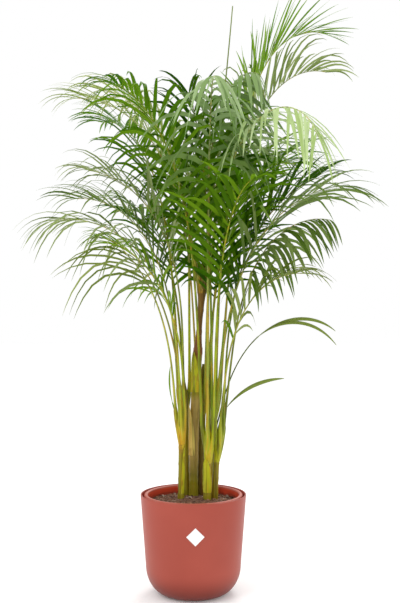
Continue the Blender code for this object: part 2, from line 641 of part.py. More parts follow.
# ---------------------------------------------------------------- the whole plant
def place_stalks():
    """Curves of all fronds and blades, with room between them."""
    rows = FRONDS + BLADES
    curves = {}
    for cane in CANES:
        own = [row for row in rows if row[1] == cane and row[0] != "spear_leaf"]
        for row, seat in zip(own, seats([row[3] for row in own], SEAT_SPACING)):
            name, _, height, heading, lean, bend, power, length = row[:8]
            distance = CANES[cane][2] + STALK_BASE_RADIUS + GAP
            start = np.array(cane_centre(cane, height)) + heading_vector(seat) * distance
            curves[name] = stalk_curve(start, heading, lean, bend, power, length)
    spear = BLADES[0]
    curves[spear[0]] = stalk_curve(np.array(cane_centre("cane_2", spear[2])), *spear[3:8])
    stalks = []
    for row in rows:
        points = curves[row[0]]
        if row in FRONDS:
            radii = stalk_radii(len(points), row[8])
        else:
            radii = np.interp(np.linspace(0, 1, len(points)), [0, row[8], 0.6, 1],
                              [BLADE_STEM_RADIUS, STALK_ROOM, 0.5 * row[9], BLADE_TIP_RADIUS])
        stalks.append((points, radii))
    posts = []
    for cane, (_, (_, _, top), radius, _) in CANES.items():
        heights = np.arange(SOIL_EDGE_HEIGHT, top, STALK_STEP)
        centres = np.array([cane_centre(cane, height) for height in heights])
        posts.append((centres, np.full(len(centres), radius)))
    for cane, foot, tip, facing, _, flare in SHEATHS.values():
        heights = np.arange(foot, tip + STALK_STEP / 2, STALK_STEP)
        outward = heading_vector(facing) * (CANES[cane][2] + flare / 2)
        centres = np.array([np.array(cane_centre(cane, height)) + outward for height in heights])
        posts.append((centres, np.full(len(centres), SHEATH_POST_RADIUS + flare / 2)))
    jostle(stalks, posts)
    return {row[0]: points for row, (points, _) in zip(rows, stalks)}


def build():
    clear_scene()
    pots = [build_outer_pot(), build_nursery_pot(), build_soil(), build_label()]
    green_cane = material("green_cane", (0.25, 0.30, 0.07), 0.55)
    grey_cane = material("grey_cane", (0.28, 0.26, 0.13), 0.6)
    canes = [build_cane(cane, grey_cane if cane in ("cane_2", "cane_3") else green_cane) for cane in CANES]
    dry = material("dry_sheath", (0.55, 0.32, 0.13), 0.8)
    sheaths = [build_sheath(name, dry) for name in SHEATHS]
    curves = place_stalks()
    leaf = material("frond_green", (0.06, 0.17, 0.03), 0.45)
    young = material("young_green", (0.16, 0.32, 0.05), 0.45)
    crowd = Crowd()
    for obj in [*canes, *sheaths, *pots]:
        crowd.add_object(obj)
    for row in BLADES:
        crowd.add_object(build_blade(row, curves[row[0]], young))
    for row in FRONDS:
        radii = stalk_radii(len(curves[row[0]]), row[8])
        crowd.add(row[0] + "_stalk", *stalk_shell(curves[row[0]], radii, row[3]))
    for row in FRONDS:
        build_frond(row, curves[row[0]], crowd, leaf)
    bpy.context.view_layer.update()


build()
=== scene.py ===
# %% [markdown]
# # A potted areca palm
# An areca palm is a clump of thin canes. Each cane ends in a few feathered leaves, called fronds, whose
# bases wrap round the cane like a sleeve. This lesson grows one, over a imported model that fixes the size
# and place of every piece: two nested plastic pots, the soil, seven canes, twenty-seven fronds, an
# unopened spear leaf, three small leaves and the dry remains of old sleeves.

import math
import random
from collections import namedtuple

import bmesh
import bpy
import numpy as np
from mathutils import Matrix, Vector, noise
from mathutils.bvhtree import BVHTree
from mathutils.kdtree import KDTree


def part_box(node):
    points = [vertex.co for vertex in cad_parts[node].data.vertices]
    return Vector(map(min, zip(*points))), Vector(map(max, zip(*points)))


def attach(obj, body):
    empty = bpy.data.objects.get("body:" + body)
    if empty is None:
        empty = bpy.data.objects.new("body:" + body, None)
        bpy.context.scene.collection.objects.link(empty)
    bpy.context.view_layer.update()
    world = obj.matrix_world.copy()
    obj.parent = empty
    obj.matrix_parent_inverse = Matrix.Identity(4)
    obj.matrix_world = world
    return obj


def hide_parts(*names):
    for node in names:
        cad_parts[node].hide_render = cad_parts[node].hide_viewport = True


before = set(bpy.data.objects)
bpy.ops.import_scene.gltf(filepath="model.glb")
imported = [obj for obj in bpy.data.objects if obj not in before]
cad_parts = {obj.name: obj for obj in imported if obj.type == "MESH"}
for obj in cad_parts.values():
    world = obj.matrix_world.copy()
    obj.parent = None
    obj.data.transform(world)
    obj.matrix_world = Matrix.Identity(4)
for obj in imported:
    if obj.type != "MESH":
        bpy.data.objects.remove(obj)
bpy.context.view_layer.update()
print("packed nodes:", len(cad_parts))

# %% [markdown]
# ## The camera, the floor and the light
# The camera stands level, about two metres away, a little above the pot's rim. It is made first, because
# everything after it is judged through it. The floor is one pale sheet, and the light is a white sky with
# one large soft lamp on each side, as in a small studio.

# %% Camera
CAMERA_PLACE = (0.0144, -2.02, 0.633)
SENSOR_WIDTH, LENS = 36, 55.3433      # millimetres
camera_data = bpy.data.cameras.new("camera")
camera_data.sensor_width, camera_data.lens = SENSOR_WIDTH, LENS
camera = bpy.data.objects.new("camera", camera_data)
camera.location = CAMERA_PLACE
camera.rotation_euler = (math.pi / 2, 0, 0)
bpy.context.collection.objects.link(camera)
bpy.context.scene.camera = camera


# %% Sky and lamps
LAMP_SIZE = 1.2


def add_lamp(name, place, aim, watts):
    """A square soft lamp that faces a point."""
    data = bpy.data.lights.new(name, "AREA")
    data.size = LAMP_SIZE
    data.energy = watts
    lamp = bpy.data.objects.new(name, data)
    lamp.location = place
    lamp.rotation_euler = (Vector(aim) - Vector(place)).to_track_quat("-Z", "Y").to_euler()
    bpy.context.collection.objects.link(lamp)


world = bpy.data.worlds.new("studio_sky")
world.use_nodes = True
world.node_tree.nodes["Background"].inputs["Color"].default_value = (1, 1, 1, 1)
world.node_tree.nodes["Background"].inputs["Strength"].default_value = 1.0
bpy.context.scene.world = world
bpy.context.scene.view_settings.view_transform = "Standard"
add_lamp("key_lamp", (-1.6, -2.0, 2.4), (0, 0, 0.7), 22)
add_lamp("fill_lamp", (2.0, -1.4, 1.6), (0, 0, 0.6), 6)
add_lamp("back_lamp", (0.6, 2.2, 2.2), (0, 0, 0.9), 30)

# %% [markdown]
# ## Shader maths as Python expressions
# A material is a graph of nodes, and a graph is hard to read as code. Here one small class wraps a
# socket and overloads the operators, so that a formula for a leaf's veins reads like a formula. A second
# class holds one material: every other kind of node comes from its one method `node`.


# %% Wires and finishes
class Wire:
    """The output of a node. Arithmetic on it adds Math nodes."""

    def __init__(self, finish, socket):
        self.finish, self.socket = finish, socket

    def math(self, operation, *others):
        return self.finish.node("Math", {"operation": operation}, dict(enumerate([self, *others])))

    def __add__(self, other):
        return self.math("ADD", other)

    def __sub__(self, other):
        return self.math("SUBTRACT", other)

    def __rsub__(self, other):
        return self.finish.node("Math", {"operation": "SUBTRACT"}, {0: other, 1: self})

    def __mul__(self, other):
        return self.math("MULTIPLY", other)

    def __truediv__(self, other):
        return self.math("DIVIDE", other)

    __radd__ = __add__
    __rmul__ = __mul__

    def step(self, low, high):
        """0 below low, 1 above high and a smooth ramp between them."""
        return self.finish.node("MapRange", {"interpolation_type": "SMOOTHSTEP"},
                                {"Value": self, "From Min": low, "From Max": high})


class Finish:
    """A material under construction."""

    def __init__(self, name):
        self.material = bpy.data.materials.new(name)
        self.material.use_nodes = True
        self.tree = self.material.node_tree
        self.tree.nodes.clear()

    def node(self, kind, settings=None, sockets=None, output=0):
        made = self.tree.nodes.new("ShaderNode" + kind)
        for key, value in (settings or {}).items():
            if key == "stops":
                ramp = made.color_ramp
                for i, (place, colour) in enumerate(value):
                    stop = ramp.elements[i] if i < 2 else ramp.elements.new(place)
                    stop.position, stop.color = place, (*colour, 1)
            else:
                setattr(made, key, value)
        for key, value in (sockets or {}).items():
            if isinstance(value, Wire):
                self.tree.links.new(value.socket, made.inputs[key])
            elif isinstance(value, tuple) and len(value) == 3 and made.inputs[key].type == "RGBA":
                made.inputs[key].default_value = (*value, 1)
            else:
                made.inputs[key].default_value = value
        return Wire(self, made.outputs[output]) if made.outputs else None

    def place(self):
        return self.node("TexCoord", output="Object")

    def uv(self, axis):
        return self.split(self.node("UVMap", {"uv_map": "UVMap"}), axis)

    def split(self, vector, axis):
        return self.node("SeparateXYZ", sockets={0: vector}, output=axis)

    def painted(self, name, output="Color"):
        return self.node("Attribute", {"attribute_name": name}, output=output)

    def stretch(self, vector, scale):
        return self.node("Mapping", sockets={"Vector": vector, "Scale": scale})

    def speckle(self, vector, scale, detail=3.0, roughness=0.5):
        return self.node("TexNoise", sockets={"Vector": vector, "Scale": scale, "Detail": detail,
                                              "Roughness": roughness})

    def mix(self, share, first, second, blend="MIX"):
        factor, colour_a, colour_b, result = 0, 6, 7, 2
        return self.node("Mix", {"data_type": "RGBA", "blend_type": blend},
                         {factor: share, colour_a: first, colour_b: second}, output=result)

    def over(self, base, *layers):
        """Lay colours over a base. A layer is how much of it shows, and its colour."""
        for share, colour in layers:
            base = self.mix(share, base, colour)
        return base

    def relief(self, height, depth, strength):
        return self.node("Bump", sockets={"Height": height, "Distance": depth, "Strength": strength})

    def done(self, glow=None, glow_share=0.3, **sockets):
        """Close the graph with one glossy shader, and for a thin leaf a second that lets light through."""
        named = {key.replace("_", " ").title().replace("Ior", "IOR"): value
                 for key, value in sockets.items()}
        surface = self.node("BsdfPrincipled", sockets=named)
        if glow:
            through = self.node("BsdfTranslucent", sockets={"Color": glow})
            surface = self.node("MixShader", sockets={0: glow_share, 1: surface, 2: through})
        self.node("OutputMaterial", sockets={"Surface": surface})
        return self.material


# %% [markdown]
# ## From a bmesh to a piece
# Every new piece ends the same way: its mesh becomes an object at the origin, rides on the model's one
# body, takes its finishes, and stands in for the plain solids it replaces.

# %% Finish a piece
def finish_piece(name, bm, materials, stands_for=(), sharp=35.0, recalculate=True):
    if recalculate:
        bmesh.ops.recalc_face_normals(bm, faces=bm.faces[:])
    mesh = bpy.data.meshes.new(name)
    bm.to_mesh(mesh)
    bm.free()
    mesh.shade_smooth()
    mesh.set_sharp_from_angle(angle=math.radians(sharp))
    for material in materials:
        mesh.materials.append(material)
    piece = bpy.data.objects.new(name, mesh)
    bpy.context.collection.objects.link(piece)
    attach(piece, "root")
    if stands_for:
        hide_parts(*stands_for)
    return piece


def turned(outline, steps):
    """Spin an outline from axis to axis into a closed solid."""
    bm = bmesh.new()
    verts = [bm.verts.new((radius, 0, height)) for radius, height in outline]
    edges = [bm.edges.new(pair) for pair in zip(verts, verts[1:])]
    bmesh.ops.spin(bm, geom=verts + edges, cent=(0, 0, 0), axis=(0, 0, 1), angle=math.tau,
                   steps=steps, use_merge=True, use_duplicate=False)
    bmesh.ops.remove_doubles(bm, verts=bm.verts[:], dist=1e-6)
    return bm


# %% Floor
def floor_finish():
    finish = Finish("pale_floor")
    return finish.done(base_color=(0.93, 0.93, 0.93), roughness=0.9, emission_color=(1, 1, 1),
                       emission_strength=0.10)


floor_mesh = bpy.data.meshes.new("floor")
floor_bm = bmesh.new()
bmesh.ops.create_circle(floor_bm, cap_ends=True, segments=64, radius=12)
floor_bm.to_mesh(floor_mesh)
floor_bm.free()
floor_mesh.materials.append(floor_finish())
floor = bpy.data.objects.new("floor", floor_mesh)
bpy.context.collection.objects.link(floor)

# %% [markdown]
# ## The outer pot
# The cover pot is moulded in one piece: a straight flared wall on a well rounded bottom, with a thin rim.
# Its outline is spun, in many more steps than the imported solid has, so that the edge looks round. The
# plastic is through-coloured and almost matt; what makes it look like plastic is the broad soft highlight
# and a very fine grain, so the finish is mostly roughness.

# %% Pot dimensions
_, pot_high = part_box("outer_pot")
POT_HEIGHT = pot_high.z
RIM_RADIUS = pot_high.x
SHOULDER_RADIUS, SHOULDER_HEIGHT, BASE_RADIUS = 0.1035, 0.063, 0.056
POT_WALL, POT_FLOOR = 0.003, 0.004
CENTRE_PAD_RADIUS, FOOT_RING_RADIUS, FOOT_RECESS = 0.030, 0.046, 0.002
print("pot", round(RIM_RADIUS * 2000), "mm across,", round(POT_HEIGHT * 1000), "mm high")


def pot_radius(height):
    """The outside radius at a height."""
    if height >= SHOULDER_HEIGHT:
        share = (height - SHOULDER_HEIGHT) / (POT_HEIGHT - SHOULDER_HEIGHT)
        return SHOULDER_RADIUS + (RIM_RADIUS - SHOULDER_RADIUS) * share
    depth = 1 - height / SHOULDER_HEIGHT
    return BASE_RADIUS + (SHOULDER_RADIUS - BASE_RADIUS) * math.sqrt(max(1 - depth * depth, 0))


def pot_side(inset, floor_height, turns=16):
    heights = [SHOULDER_HEIGHT * (1 - math.cos(math.pi / 2 * i / turns)) for i in range(turns + 1)]
    return [(pot_radius(h) - inset, h + floor_height * (1 - h / SHOULDER_HEIGHT)) for h in heights]


def rounded_rim(outer, inner, base, rise, turns):
    """Half an ellipse over a wall's thickness, from the outside to the inside."""
    half, middle = (outer - inner) / 2, (outer + inner) / 2
    angles = [math.pi * i / turns for i in range(turns + 1)]
    return [(middle + half * math.cos(angle), base + rise * math.sin(angle)) for angle in angles]


# %% Outer pot
def pot_finish():
    finish = Finish("rust_red_plastic")
    place = finish.place()
    cloud = finish.speckle(place, 9, 2)
    grain = finish.speckle(place, 1400, 2)
    colour = finish.mix(cloud.step(0.35, 0.7), (0.350, 0.060, 0.038), (0.375, 0.067, 0.043))
    # painted shade: the red darkens over the lowest 65 mm towards the foot, as if the foot stood in shade
    foot = 1 - finish.split(place, "Z").step(0.0, 0.065)
    colour = finish.mix(foot, colour, (0.150, 0.017, 0.009))
    return finish.done(base_color=colour, roughness=0.36 + 0.10 * cloud, specular_ior_level=0.30,
                       normal=finish.relief(grain, 0.00006, 0.35))


outline = [(0, 0), (CENTRE_PAD_RADIUS, 0), (CENTRE_PAD_RADIUS + FOOT_RECESS, FOOT_RECESS),
           (FOOT_RING_RADIUS - FOOT_RECESS, FOOT_RECESS), (FOOT_RING_RADIUS, 0)] + pot_side(0, 0)
outline += rounded_rim(RIM_RADIUS, RIM_RADIUS - POT_WALL, POT_HEIGHT - POT_WALL / 2, POT_WALL / 2, 6)
outline += list(reversed(pot_side(POT_WALL, POT_FLOOR))) + [(0, POT_FLOOR)]
finish_piece("outer_pot_shell", turned(outline, 160), [pot_finish()], ["outer_pot"])

# %% [markdown]
# ## The nursery pot
# The plant still stands in the pot it was grown in. Its thick rolled lip sits level with the cover pot's
# rim, with a dark gap all round. It is the same red, paler and less red over the top of its lip and darker
# inside, where soil has stained it.

# %% Nursery pot
LIP_RADIUS, MOUTH_RADIUS, WALL_TOP_RADIUS, LIP_DROP, LIP_ROLL = 0.107, 0.099, 0.104, 0.016, 0.003
HEEL_RADIUS, HEEL_RISE, FOOT_RADIUS, NURSERY_WALL, STAND = 0.078, 0.021, 0.050, 0.002, 0.0044


def nursery_finish():
    finish = Finish("nursery_plastic")
    place = finish.place()
    height = finish.split(place, "Z")
    cloud = finish.speckle(place, 30, 4)
    # the top of the lip is paler and less red than the rest of the pot
    lip_top = height.step(POT_HEIGHT - 0.006, POT_HEIGHT - 0.001)
    red = finish.mix(lip_top, (0.72, 0.070, 0.024), (0.44, 0.090, 0.052))
    stained = (cloud + (POT_HEIGHT - 0.010 - height) * 60).step(0.55, 0.95)
    return finish.done(base_color=finish.mix(stained * 0.5, red, (0.18, 0.045, 0.024)),
                       roughness=0.42 + 0.2 * cloud, normal=finish.relief(cloud, 0.0004, 0.3))


lip = POT_HEIGHT - LIP_DROP
outline = [(0, STAND), (FOOT_RADIUS, STAND), (HEEL_RADIUS, STAND + HEEL_RISE), (WALL_TOP_RADIUS, lip),
           (LIP_RADIUS, lip + NURSERY_WALL)]
outline += rounded_rim(LIP_RADIUS, MOUTH_RADIUS, POT_HEIGHT - LIP_ROLL, LIP_ROLL, 10)
outline += [(MOUTH_RADIUS, lip + LIP_DROP / 2), (WALL_TOP_RADIUS - NURSERY_WALL, lip),
            (HEEL_RADIUS - NURSERY_WALL, STAND + HEEL_RISE + NURSERY_WALL),
            (FOOT_RADIUS - NURSERY_WALL, STAND + NURSERY_WALL), (0, STAND + NURSERY_WALL)]
finish_piece("nursery_pot_shell", turned(outline, 140), [nursery_finish()],
             ["nursery_pot"])

# %% [markdown]
# ## The sticker
# A small plain white diamond sits on the pot's front and follows its wall. Nothing is printed on it. A
# grid is turned by 45 degrees, wrapped round the wall and given the thickness of stout paper.

# %% Sticker
LABEL_X, LABEL_HEIGHT, LABEL_DIAGONAL, LABEL_LIFT, LABEL_THICKNESS = 0.005, 0.147, 0.038, 0.0004, 0.0007


def label_finish():
    finish = Finish("white_sticker")
    fibre = finish.speckle(finish.place(), 900, 4)
    return finish.done(base_color=finish.mix(fibre, (0.86, 0.86, 0.84), (0.92, 0.92, 0.91)), roughness=0.38,
                       normal=finish.relief(fibre, 0.00005, 0.4))


label = bmesh.new()
bmesh.ops.create_grid(label, x_segments=12, y_segments=12, size=LABEL_DIAGONAL / math.sqrt(8),
                      matrix=Matrix.Rotation(math.radians(45), 4, "Z"))
skin = bmesh.ops.extrude_face_region(label, geom=label.faces[:])["geom"]
raised = {item for item in skin if isinstance(item, bmesh.types.BMVert)}
for vert in label.verts:
    height = LABEL_HEIGHT + vert.co.y
    radius = pot_radius(height) + LABEL_LIFT + (LABEL_THICKNESS if vert in raised else 0)
    angle = (LABEL_X + vert.co.x) / radius - math.pi / 2
    vert.co = (radius * math.cos(angle), radius * math.sin(angle), height)
finish_piece("sticker", label, [label_finish()], ["blank_label"])

# %% [markdown]
# ## The clump's driving dimensions
# Each cane is a foot in the soil, a top, a radius and how late it starts to lean. Each frond is a height
# on its cane, a heading and the way its stalk bends: the tilt from the vertical is
# `lean + bend * s ** power`, where `s` runs from 0 to 1 along it. The same few numbers drive the packed
# model, so the fine fronds grow where the plain ones are.

# %% Canes
# name: foot (x, y), top (x, y, z), radius, how late it leans
CANES = {
    "cane_1": ((-0.027, 0.004), (-0.025, 0.006, 0.378), 0.0072, 1),
    "cane_2": ((0, 0.034), (0.026, 0.026, 0.733), 0.0105, 2),
    "cane_3": ((0.015, 0.052), (0.022, 0.058, 0.493), 0.008, 1),
    "cane_4": ((0.03, -0.004), (0.032, 0, 0.348), 0.0085, 1),
    "cane_5": ((0.046, 0.014), (0.054, 0.012, 0.353), 0.0072, 1),
    "cane_6": ((-0.018, 0.05), (-0.022, 0.056, 0.453), 0.008, 1),
    "cane_7": ((0.038, 0.05), (0.046, 0.06, 0.433), 0.0075, 1),
}
SOIL_EDGE_HEIGHT = 0.196

# %% Fronds
Frond = namedtuple(
    "Frond",
    "name cane height heading lean bend power length bare pairs leaflet droop limp rise width shade")
FRONDS = [Frond(name, f"cane_{number}", *rest) for name, number, *rest in [
    ("low_left_front", 1, 0.363, 186, 3, 44, 2.0, 0.42, 0.7, 4, 0.22, 2.1, 1.7, -34, 0.0048, "olive"),
    ("low_left_back", 1, 0.353, 170, 5, 34, 2.0, 0.4, 0.78, 3, 0.21, 2.0, 1.7, -34, 0.0048, "olive"),
    ("left_sweep", 1, 0.373, 186, -1, 100, 2.0, 0.585, 0.46, 16, 0.21, 2.1, 1.8, 5, 0.0064, "mist"),
    ("left_young", 1, 0.363, 198, 2, 70, 2.2, 0.47, 0.5, 12, 0.15, 1.3, 1.6, 15, 0.0065, "bright"),
    ("left_high", 3, 0.453, 178, 3, 88, 3.2, 0.76, 0.5, 24, 0.18, 1.2, 2.0, 15, 0.005, "light"),
    ("left_mid_front", 6, 0.413, 192, 0, 84, 2.6, 0.6, 0.48, 20, 0.18, 1.4, 2.0, 20, 0.006, "mist"),
    ("left_mid_back", 6, 0.403, 168, 3, 90, 2.6, 0.58, 0.46, 20, 0.18, 1.4, 2.0, 20, 0.0062, "sage"),
    ("centre_crown", 2, 0.698, 302, 0, 120, 3.2, 0.52, 0.44, 16, 0.17, 3.0, 0.8, -10, 0.0105, "grey_green"),
    ("centre_left_front", 4, 0.343, 235, 4, 78, 3.2, 0.82, 0.5, 26, 0.18, 1.7, 1.8, 25, 0.0078, "green"),
    ("centre_front", 4, 0.333, 272, 3, 112, 4.2, 0.88, 0.56, 18, 0.19, 3.0, 1.0, 0, 0.0105, "grey_green"),
    ("centre_upright", 5, 0.343, 255, 2, 56, 3.2, 0.76, 0.4, 28, 0.18, 1.3, 1.8, 25, 0.0078, "deep_green"),
    ("crown_back_left", 2, 0.693, 172, 8, 72, 2.6, 0.5, 0.3, 24, 0.18, 1.8, 2.0, 25, 0.0056, "light"),
    ("crown_back_right", 2, 0.703, 60, 8, 76, 2.4, 0.42, 0.3, 22, 0.17, 1.2, 2.0, 25, 0.0075, "green"),
    ("right_plume", 7, 0.413, 8, 5.3, 102, 7.2, 0.93, 0.6, 34, 0.16, 0.3, 1.5, 20, 0.0062, "vivid"),
    ("right_high_back", 7, 0.403, 22, 4.6, 94, 4.8, 0.89, 0.54, 24, 0.16, 1.1, 2.0, 58, 0.0058, "mist"),
    ("right_pale", 3, 0.443, 299, 2, 150, 2.5, 0.87, 0.58, 20, 0.17, 1.8, 1.0, -15, 0.0074, "pale"),
    ("right_dark", 5, 0.343, 345, 2, 66, 2.6, 0.62, 0.44, 24, 0.19, 0.9, 2.0, 20, 0.0085, "deep_green"),
    ("right_front", 5, 0.333, 340, 5, 72, 2.6, 0.63, 0.55, 16, 0.25, 1.2, 1.6, 5, 0.0088, "sage"),
    ("right_low", 5, 0.323, 345, 6, 98, 3.6, 0.6, 0.6, 13, 0.12, 3.0, 0.8, -10, 0.0086, "sage"),
    ("right_low_front", 5, 0.323, 344, 5, 92, 3.0, 0.46, 0.5, 14, 0.15, 1.4, 2.0, 15, 0.008, "olive"),
    ("front_right", 4, 0.323, 290, 4, 82, 3.4, 0.64, 0.54, 18, 0.17, 0.9, 1.6, 20, 0.0085, "green"),
    ("right_inner_back", 7, 0.423, 62, 4, 100, 3.0, 0.74, 0.5, 24, 0.18, 1.2, 1.8, 25, 0.008, "bright"),
    ("back_centre", 6, 0.413, 92, 6, 84, 2.4, 0.74, 0.48, 26, 0.19, 0.9, 1.8, 25, 0.008, "bright"),
    ("back_left", 6, 0.423, 128, 5, 82, 2.8, 0.8, 0.48, 26, 0.18, 1.0, 1.8, 25, 0.0078, "green"),
    ("back_right", 3, 0.423, 48, 6, 88, 2.4, 0.72, 0.48, 26, 0.18, 0.8, 1.8, 25, 0.008, "green"),
    ("back_low_left", 6, 0.393, 124, 6, 84, 2.6, 0.58, 0.48, 20, 0.17, 0.9, 1.8, 25, 0.008, "green"),
    ("back_low_right", 7, 0.373, 78, 8, 88, 2.4, 0.56, 0.48, 20, 0.17, 0.9, 1.8, 25, 0.008, "deep_green"),
]]

# %% Undivided leaves
Blade = namedtuple("Blade", "name cane height heading lean bend power length bare width thickness roll shade")
BLADES = [Blade(name, f"cane_{number}", *rest) for name, number, *rest in [
    ("spear_leaf", 2, 0.7335, 0, 7.5, -2.5, 1.0, 0.555, 0.1, 0.007, 0.0045, 0, "olive"),
    ("small_leaf_left", 1, 0.368, 180, 24, -30, 1.0, 0.125, 0.35, 0.0058, 0.001, 60, "bright"),
    ("small_leaf_right_low", 5, 0.351, 0, 5, 85, 0.8, 0.2, 0.25, 0.012, 0.001, 60, "olive"),
    ("small_leaf_right_high", 5, 0.328, 0, 12, 122, 2.2, 0.44, 0.58, 0.011, 0.001, 55, "olive"),
]]
SPEAR = BLADES[0]
# an old sheath: its arc is in degrees and its flare is at the tip
Sheath = namedtuple("Sheath", "cane foot tip facing arc flare fresh dry")
SHEATHS = {name: Sheath(f"cane_{number}", *rest) for name, number, *rest in [
    ("dry_sheath_low", 2, 0.293, 0.409, 205, 150, 0.006, (0.64, 0.38, 0.03), (0.82, 0.36, 0.03)),
    ("dry_sheath_high", 2, 0.433, 0.523, 235, 130, 0.004, (0.30, 0.29, 0.014), (0.52, 0.33, 0.05)),
    ("split_sheath", 4, 0.218, 0.293, 250, 190, 0.003, (0.33, 0.32, 0.004), (0.56, 0.29, 0.02)),
    ("dry_strip", 1, 0.215, 0.315, 300, 60, 0.004, (0.42, 0.32, 0.12), (0.60, 0.48, 0.24)),
]}
STALK_BASE_RADIUS, FIRST_LEAFLET_RADIUS, STALK_TIP_RADIUS = 0.0045, 0.0024, 0.0009
STALK_ROOM, SEAT_SPACING, TOUCH, STEP = 0.002, 62, 0.0004, 0.004
print(len(FRONDS), "fronds on", len(CANES), "canes")


# %% [markdown]
# ## Stalk curves
# A stalk starts beside its cane, rises almost straight and arches over. Twenty-seven of them leave a
# bundle no wider than a hand, so many would run through each other. Real stalks push each other aside
# as they grow, and so do these: each point that is too near a neighbour is moved away a little, many
# times over, and the moves are smoothed along the stalk so that it stays one clean curve.

# %% Curves
def heading_vector(degrees):
    return np.array([math.cos(math.radians(degrees)), math.sin(math.radians(degrees)), 0.0])


def cane_centre(cane, height):
    (foot_x, foot_y), (top_x, top_y, top_z), _, late = CANES[cane]
    share = (max(height - SOIL_EDGE_HEIGHT, 0) / (top_z - SOIL_EDGE_HEIGHT)) ** late
    return Vector((foot_x + (top_x - foot_x) * share, foot_y + (top_y - foot_y) * share, height))


def stalk_curve(start, heading, lean, bend, power, length):
    count = round(length / STEP)
    outward = heading_vector(heading)
    points = [np.array(start, dtype=float)]
    for i in range(count):
        tilt = math.radians(lean + bend * ((i + 0.5) / count) ** power)
        direction = outward * math.sin(tilt) + np.array([0, 0, math.cos(tilt)])
        points.append(points[-1] + direction * length / count)
    return np.array(points)


def seats(headings, spacing):
    """Angles round a cane for the stalks that leave it: near their headings, and spaced apart."""
    order = sorted(range(len(headings)), key=lambda i: headings[i])
    angles = [float(headings[i]) for i in order]
    for _ in range(200):
        for i in range(len(angles)):
            following = (i + 1) % len(angles)
            wrap = 360 if following == 0 else 0
            short = spacing - (angles[following] + wrap - angles[i])
            if short > 0 and len(angles) > 1:
                angles[i] -= short / 2
                angles[following] += short / 2
    placed = dict(zip(order, angles))
    return [placed[i] for i in range(len(headings))]


# %% Room between the stalks
# how much of a push goes up or down, how much of it is done at once, how often it is smoothed along the
# stalk, and how much of the lost strength it may regain
CLIMB, HASTE, SMOOTHINGS, REGAIN = 0.3, 0.6, 10, 4


def jostle(stalks, posts, rounds=60):
    """Push the stalks apart until each has room. The posts, which are the canes, don't give way."""
    everything = [*stalks, *posts]
    owner = np.concatenate([np.full(len(radii), i) for i, (_, radii) in enumerate(everything)])
    radii = np.concatenate([radii for _, radii in everything])
    widest = radii.max()
    starts = np.cumsum([0] + [len(r) for _, r in everything])
    for _ in range(rounds):
        points = np.concatenate([points for points, _ in everything])
        tree = KDTree(len(points))
        for i, point in enumerate(points):
            tree.insert(point, i)
        tree.balance()
        push = np.zeros_like(points)
        for i in range(starts[len(stalks)]):
            for _, j, distance in tree.find_range(points[i], radii[i] + widest + STALK_ROOM):
                short = radii[i] + radii[j] + STALK_ROOM - distance
                if owner[j] == owner[i] or short <= 0:
                    continue
                away = points[i] - points[j]
                away[2] *= CLIMB
                share = 1.0 if owner[j] >= len(stalks) else 0.5
                push[i] += away / max(np.linalg.norm(away), 1e-6) * short * share * HASTE
        for k, (points_k, _) in enumerate(stalks):
            own = push[starts[k]:starts[k + 1]]
            largest = np.abs(own).max()
            for _ in range(SMOOTHINGS):
                own[1:-1] = 0.25 * own[:-2] + 0.5 * own[1:-1] + 0.25 * own[2:]
            if np.abs(own).max() > 0:
                own *= min(largest / np.abs(own).max(), REGAIN)
            points_k += own


# %% Lay out all stalks
SLENDER_FROM, SLENDER = 0.12, 0.72      # where a stalk has lost the thickness of its foot, and what is left
BLADE_STEM_RADIUS = 0.0016


def stalk_radii(count, bare_share):
    return np.interp(np.linspace(0, 1, count), [0, SLENDER_FROM, bare_share, 1],
                     [STALK_BASE_RADIUS, SLENDER * STALK_BASE_RADIUS, FIRST_LEAFLET_RADIUS, STALK_TIP_RADIUS])


def blade_radii(count, row):
    return np.interp(np.linspace(0, 1, count), [0, row.bare, 0.6, 1],
                     [BLADE_STEM_RADIUS, 0.002, 0.5 * row.width, 0.001])


def place_stalks():
    rows = FRONDS + BLADES
    starts = {}
    for cane in CANES:
        own = [row for row in rows if row.cane == cane and row is not SPEAR]
        distance = CANES[cane][2] + STALK_BASE_RADIUS + TOUCH
        for row, seat in zip(own, seats([row.heading for row in own], SEAT_SPACING)):
            starts[row.name] = np.array(cane_centre(cane, row.height)) + heading_vector(seat) * distance
    starts[SPEAR.name] = np.array(cane_centre(SPEAR.cane, SPEAR.height))
    stalks = []
    for row in rows:
        points = stalk_curve(starts[row.name], row.heading, row.lean, row.bend, row.power, row.length)
        count = len(points)
        radii = stalk_radii(count, row.bare) if isinstance(row, Frond) else blade_radii(count, row)
        stalks.append((points, radii))
    posts = []
    for cane, (_, (_, _, top), radius, _) in CANES.items():
        heights = np.arange(SOIL_EDGE_HEIGHT, top, STEP)
        centres = np.array([cane_centre(cane, height) for height in heights])
        posts.append((centres, np.full(len(heights), radius)))
    for sheath in SHEATHS.values():
        heights = np.arange(sheath.foot, sheath.tip + STEP / 2, STEP)
        outward = heading_vector(sheath.facing) * (CANES[sheath.cane][2] + sheath.flare / 2)
        centres = np.array([np.array(cane_centre(sheath.cane, height)) + outward for height in heights])
        posts.append((centres, np.full(len(heights), 0.003 + sheath.flare / 2)))
    jostle(stalks, posts)
    return {row.name: points for row, (points, _) in zip(rows, stalks)}


CURVES = place_stalks()
print("longest stalk reaches", round(max(points[:, 2].max() for points in CURVES.values()), 3), "m up")


# %% [markdown]
# ## A tube that knows its length
# Canes, stalks and blades are all tubes whose section changes along the way. A circle is extruded from
# frame to frame: each frame is a matrix whose columns are the section's width, its height, the way ahead
# and the centre. The tube's UV map runs once round it in U and counts metres in V, so that rings, streaks
# and veins can follow it.

# %% Frames along a curve
UP, EAST = np.array([0, 0, 1.0]), np.array([1.0, 0, 0])


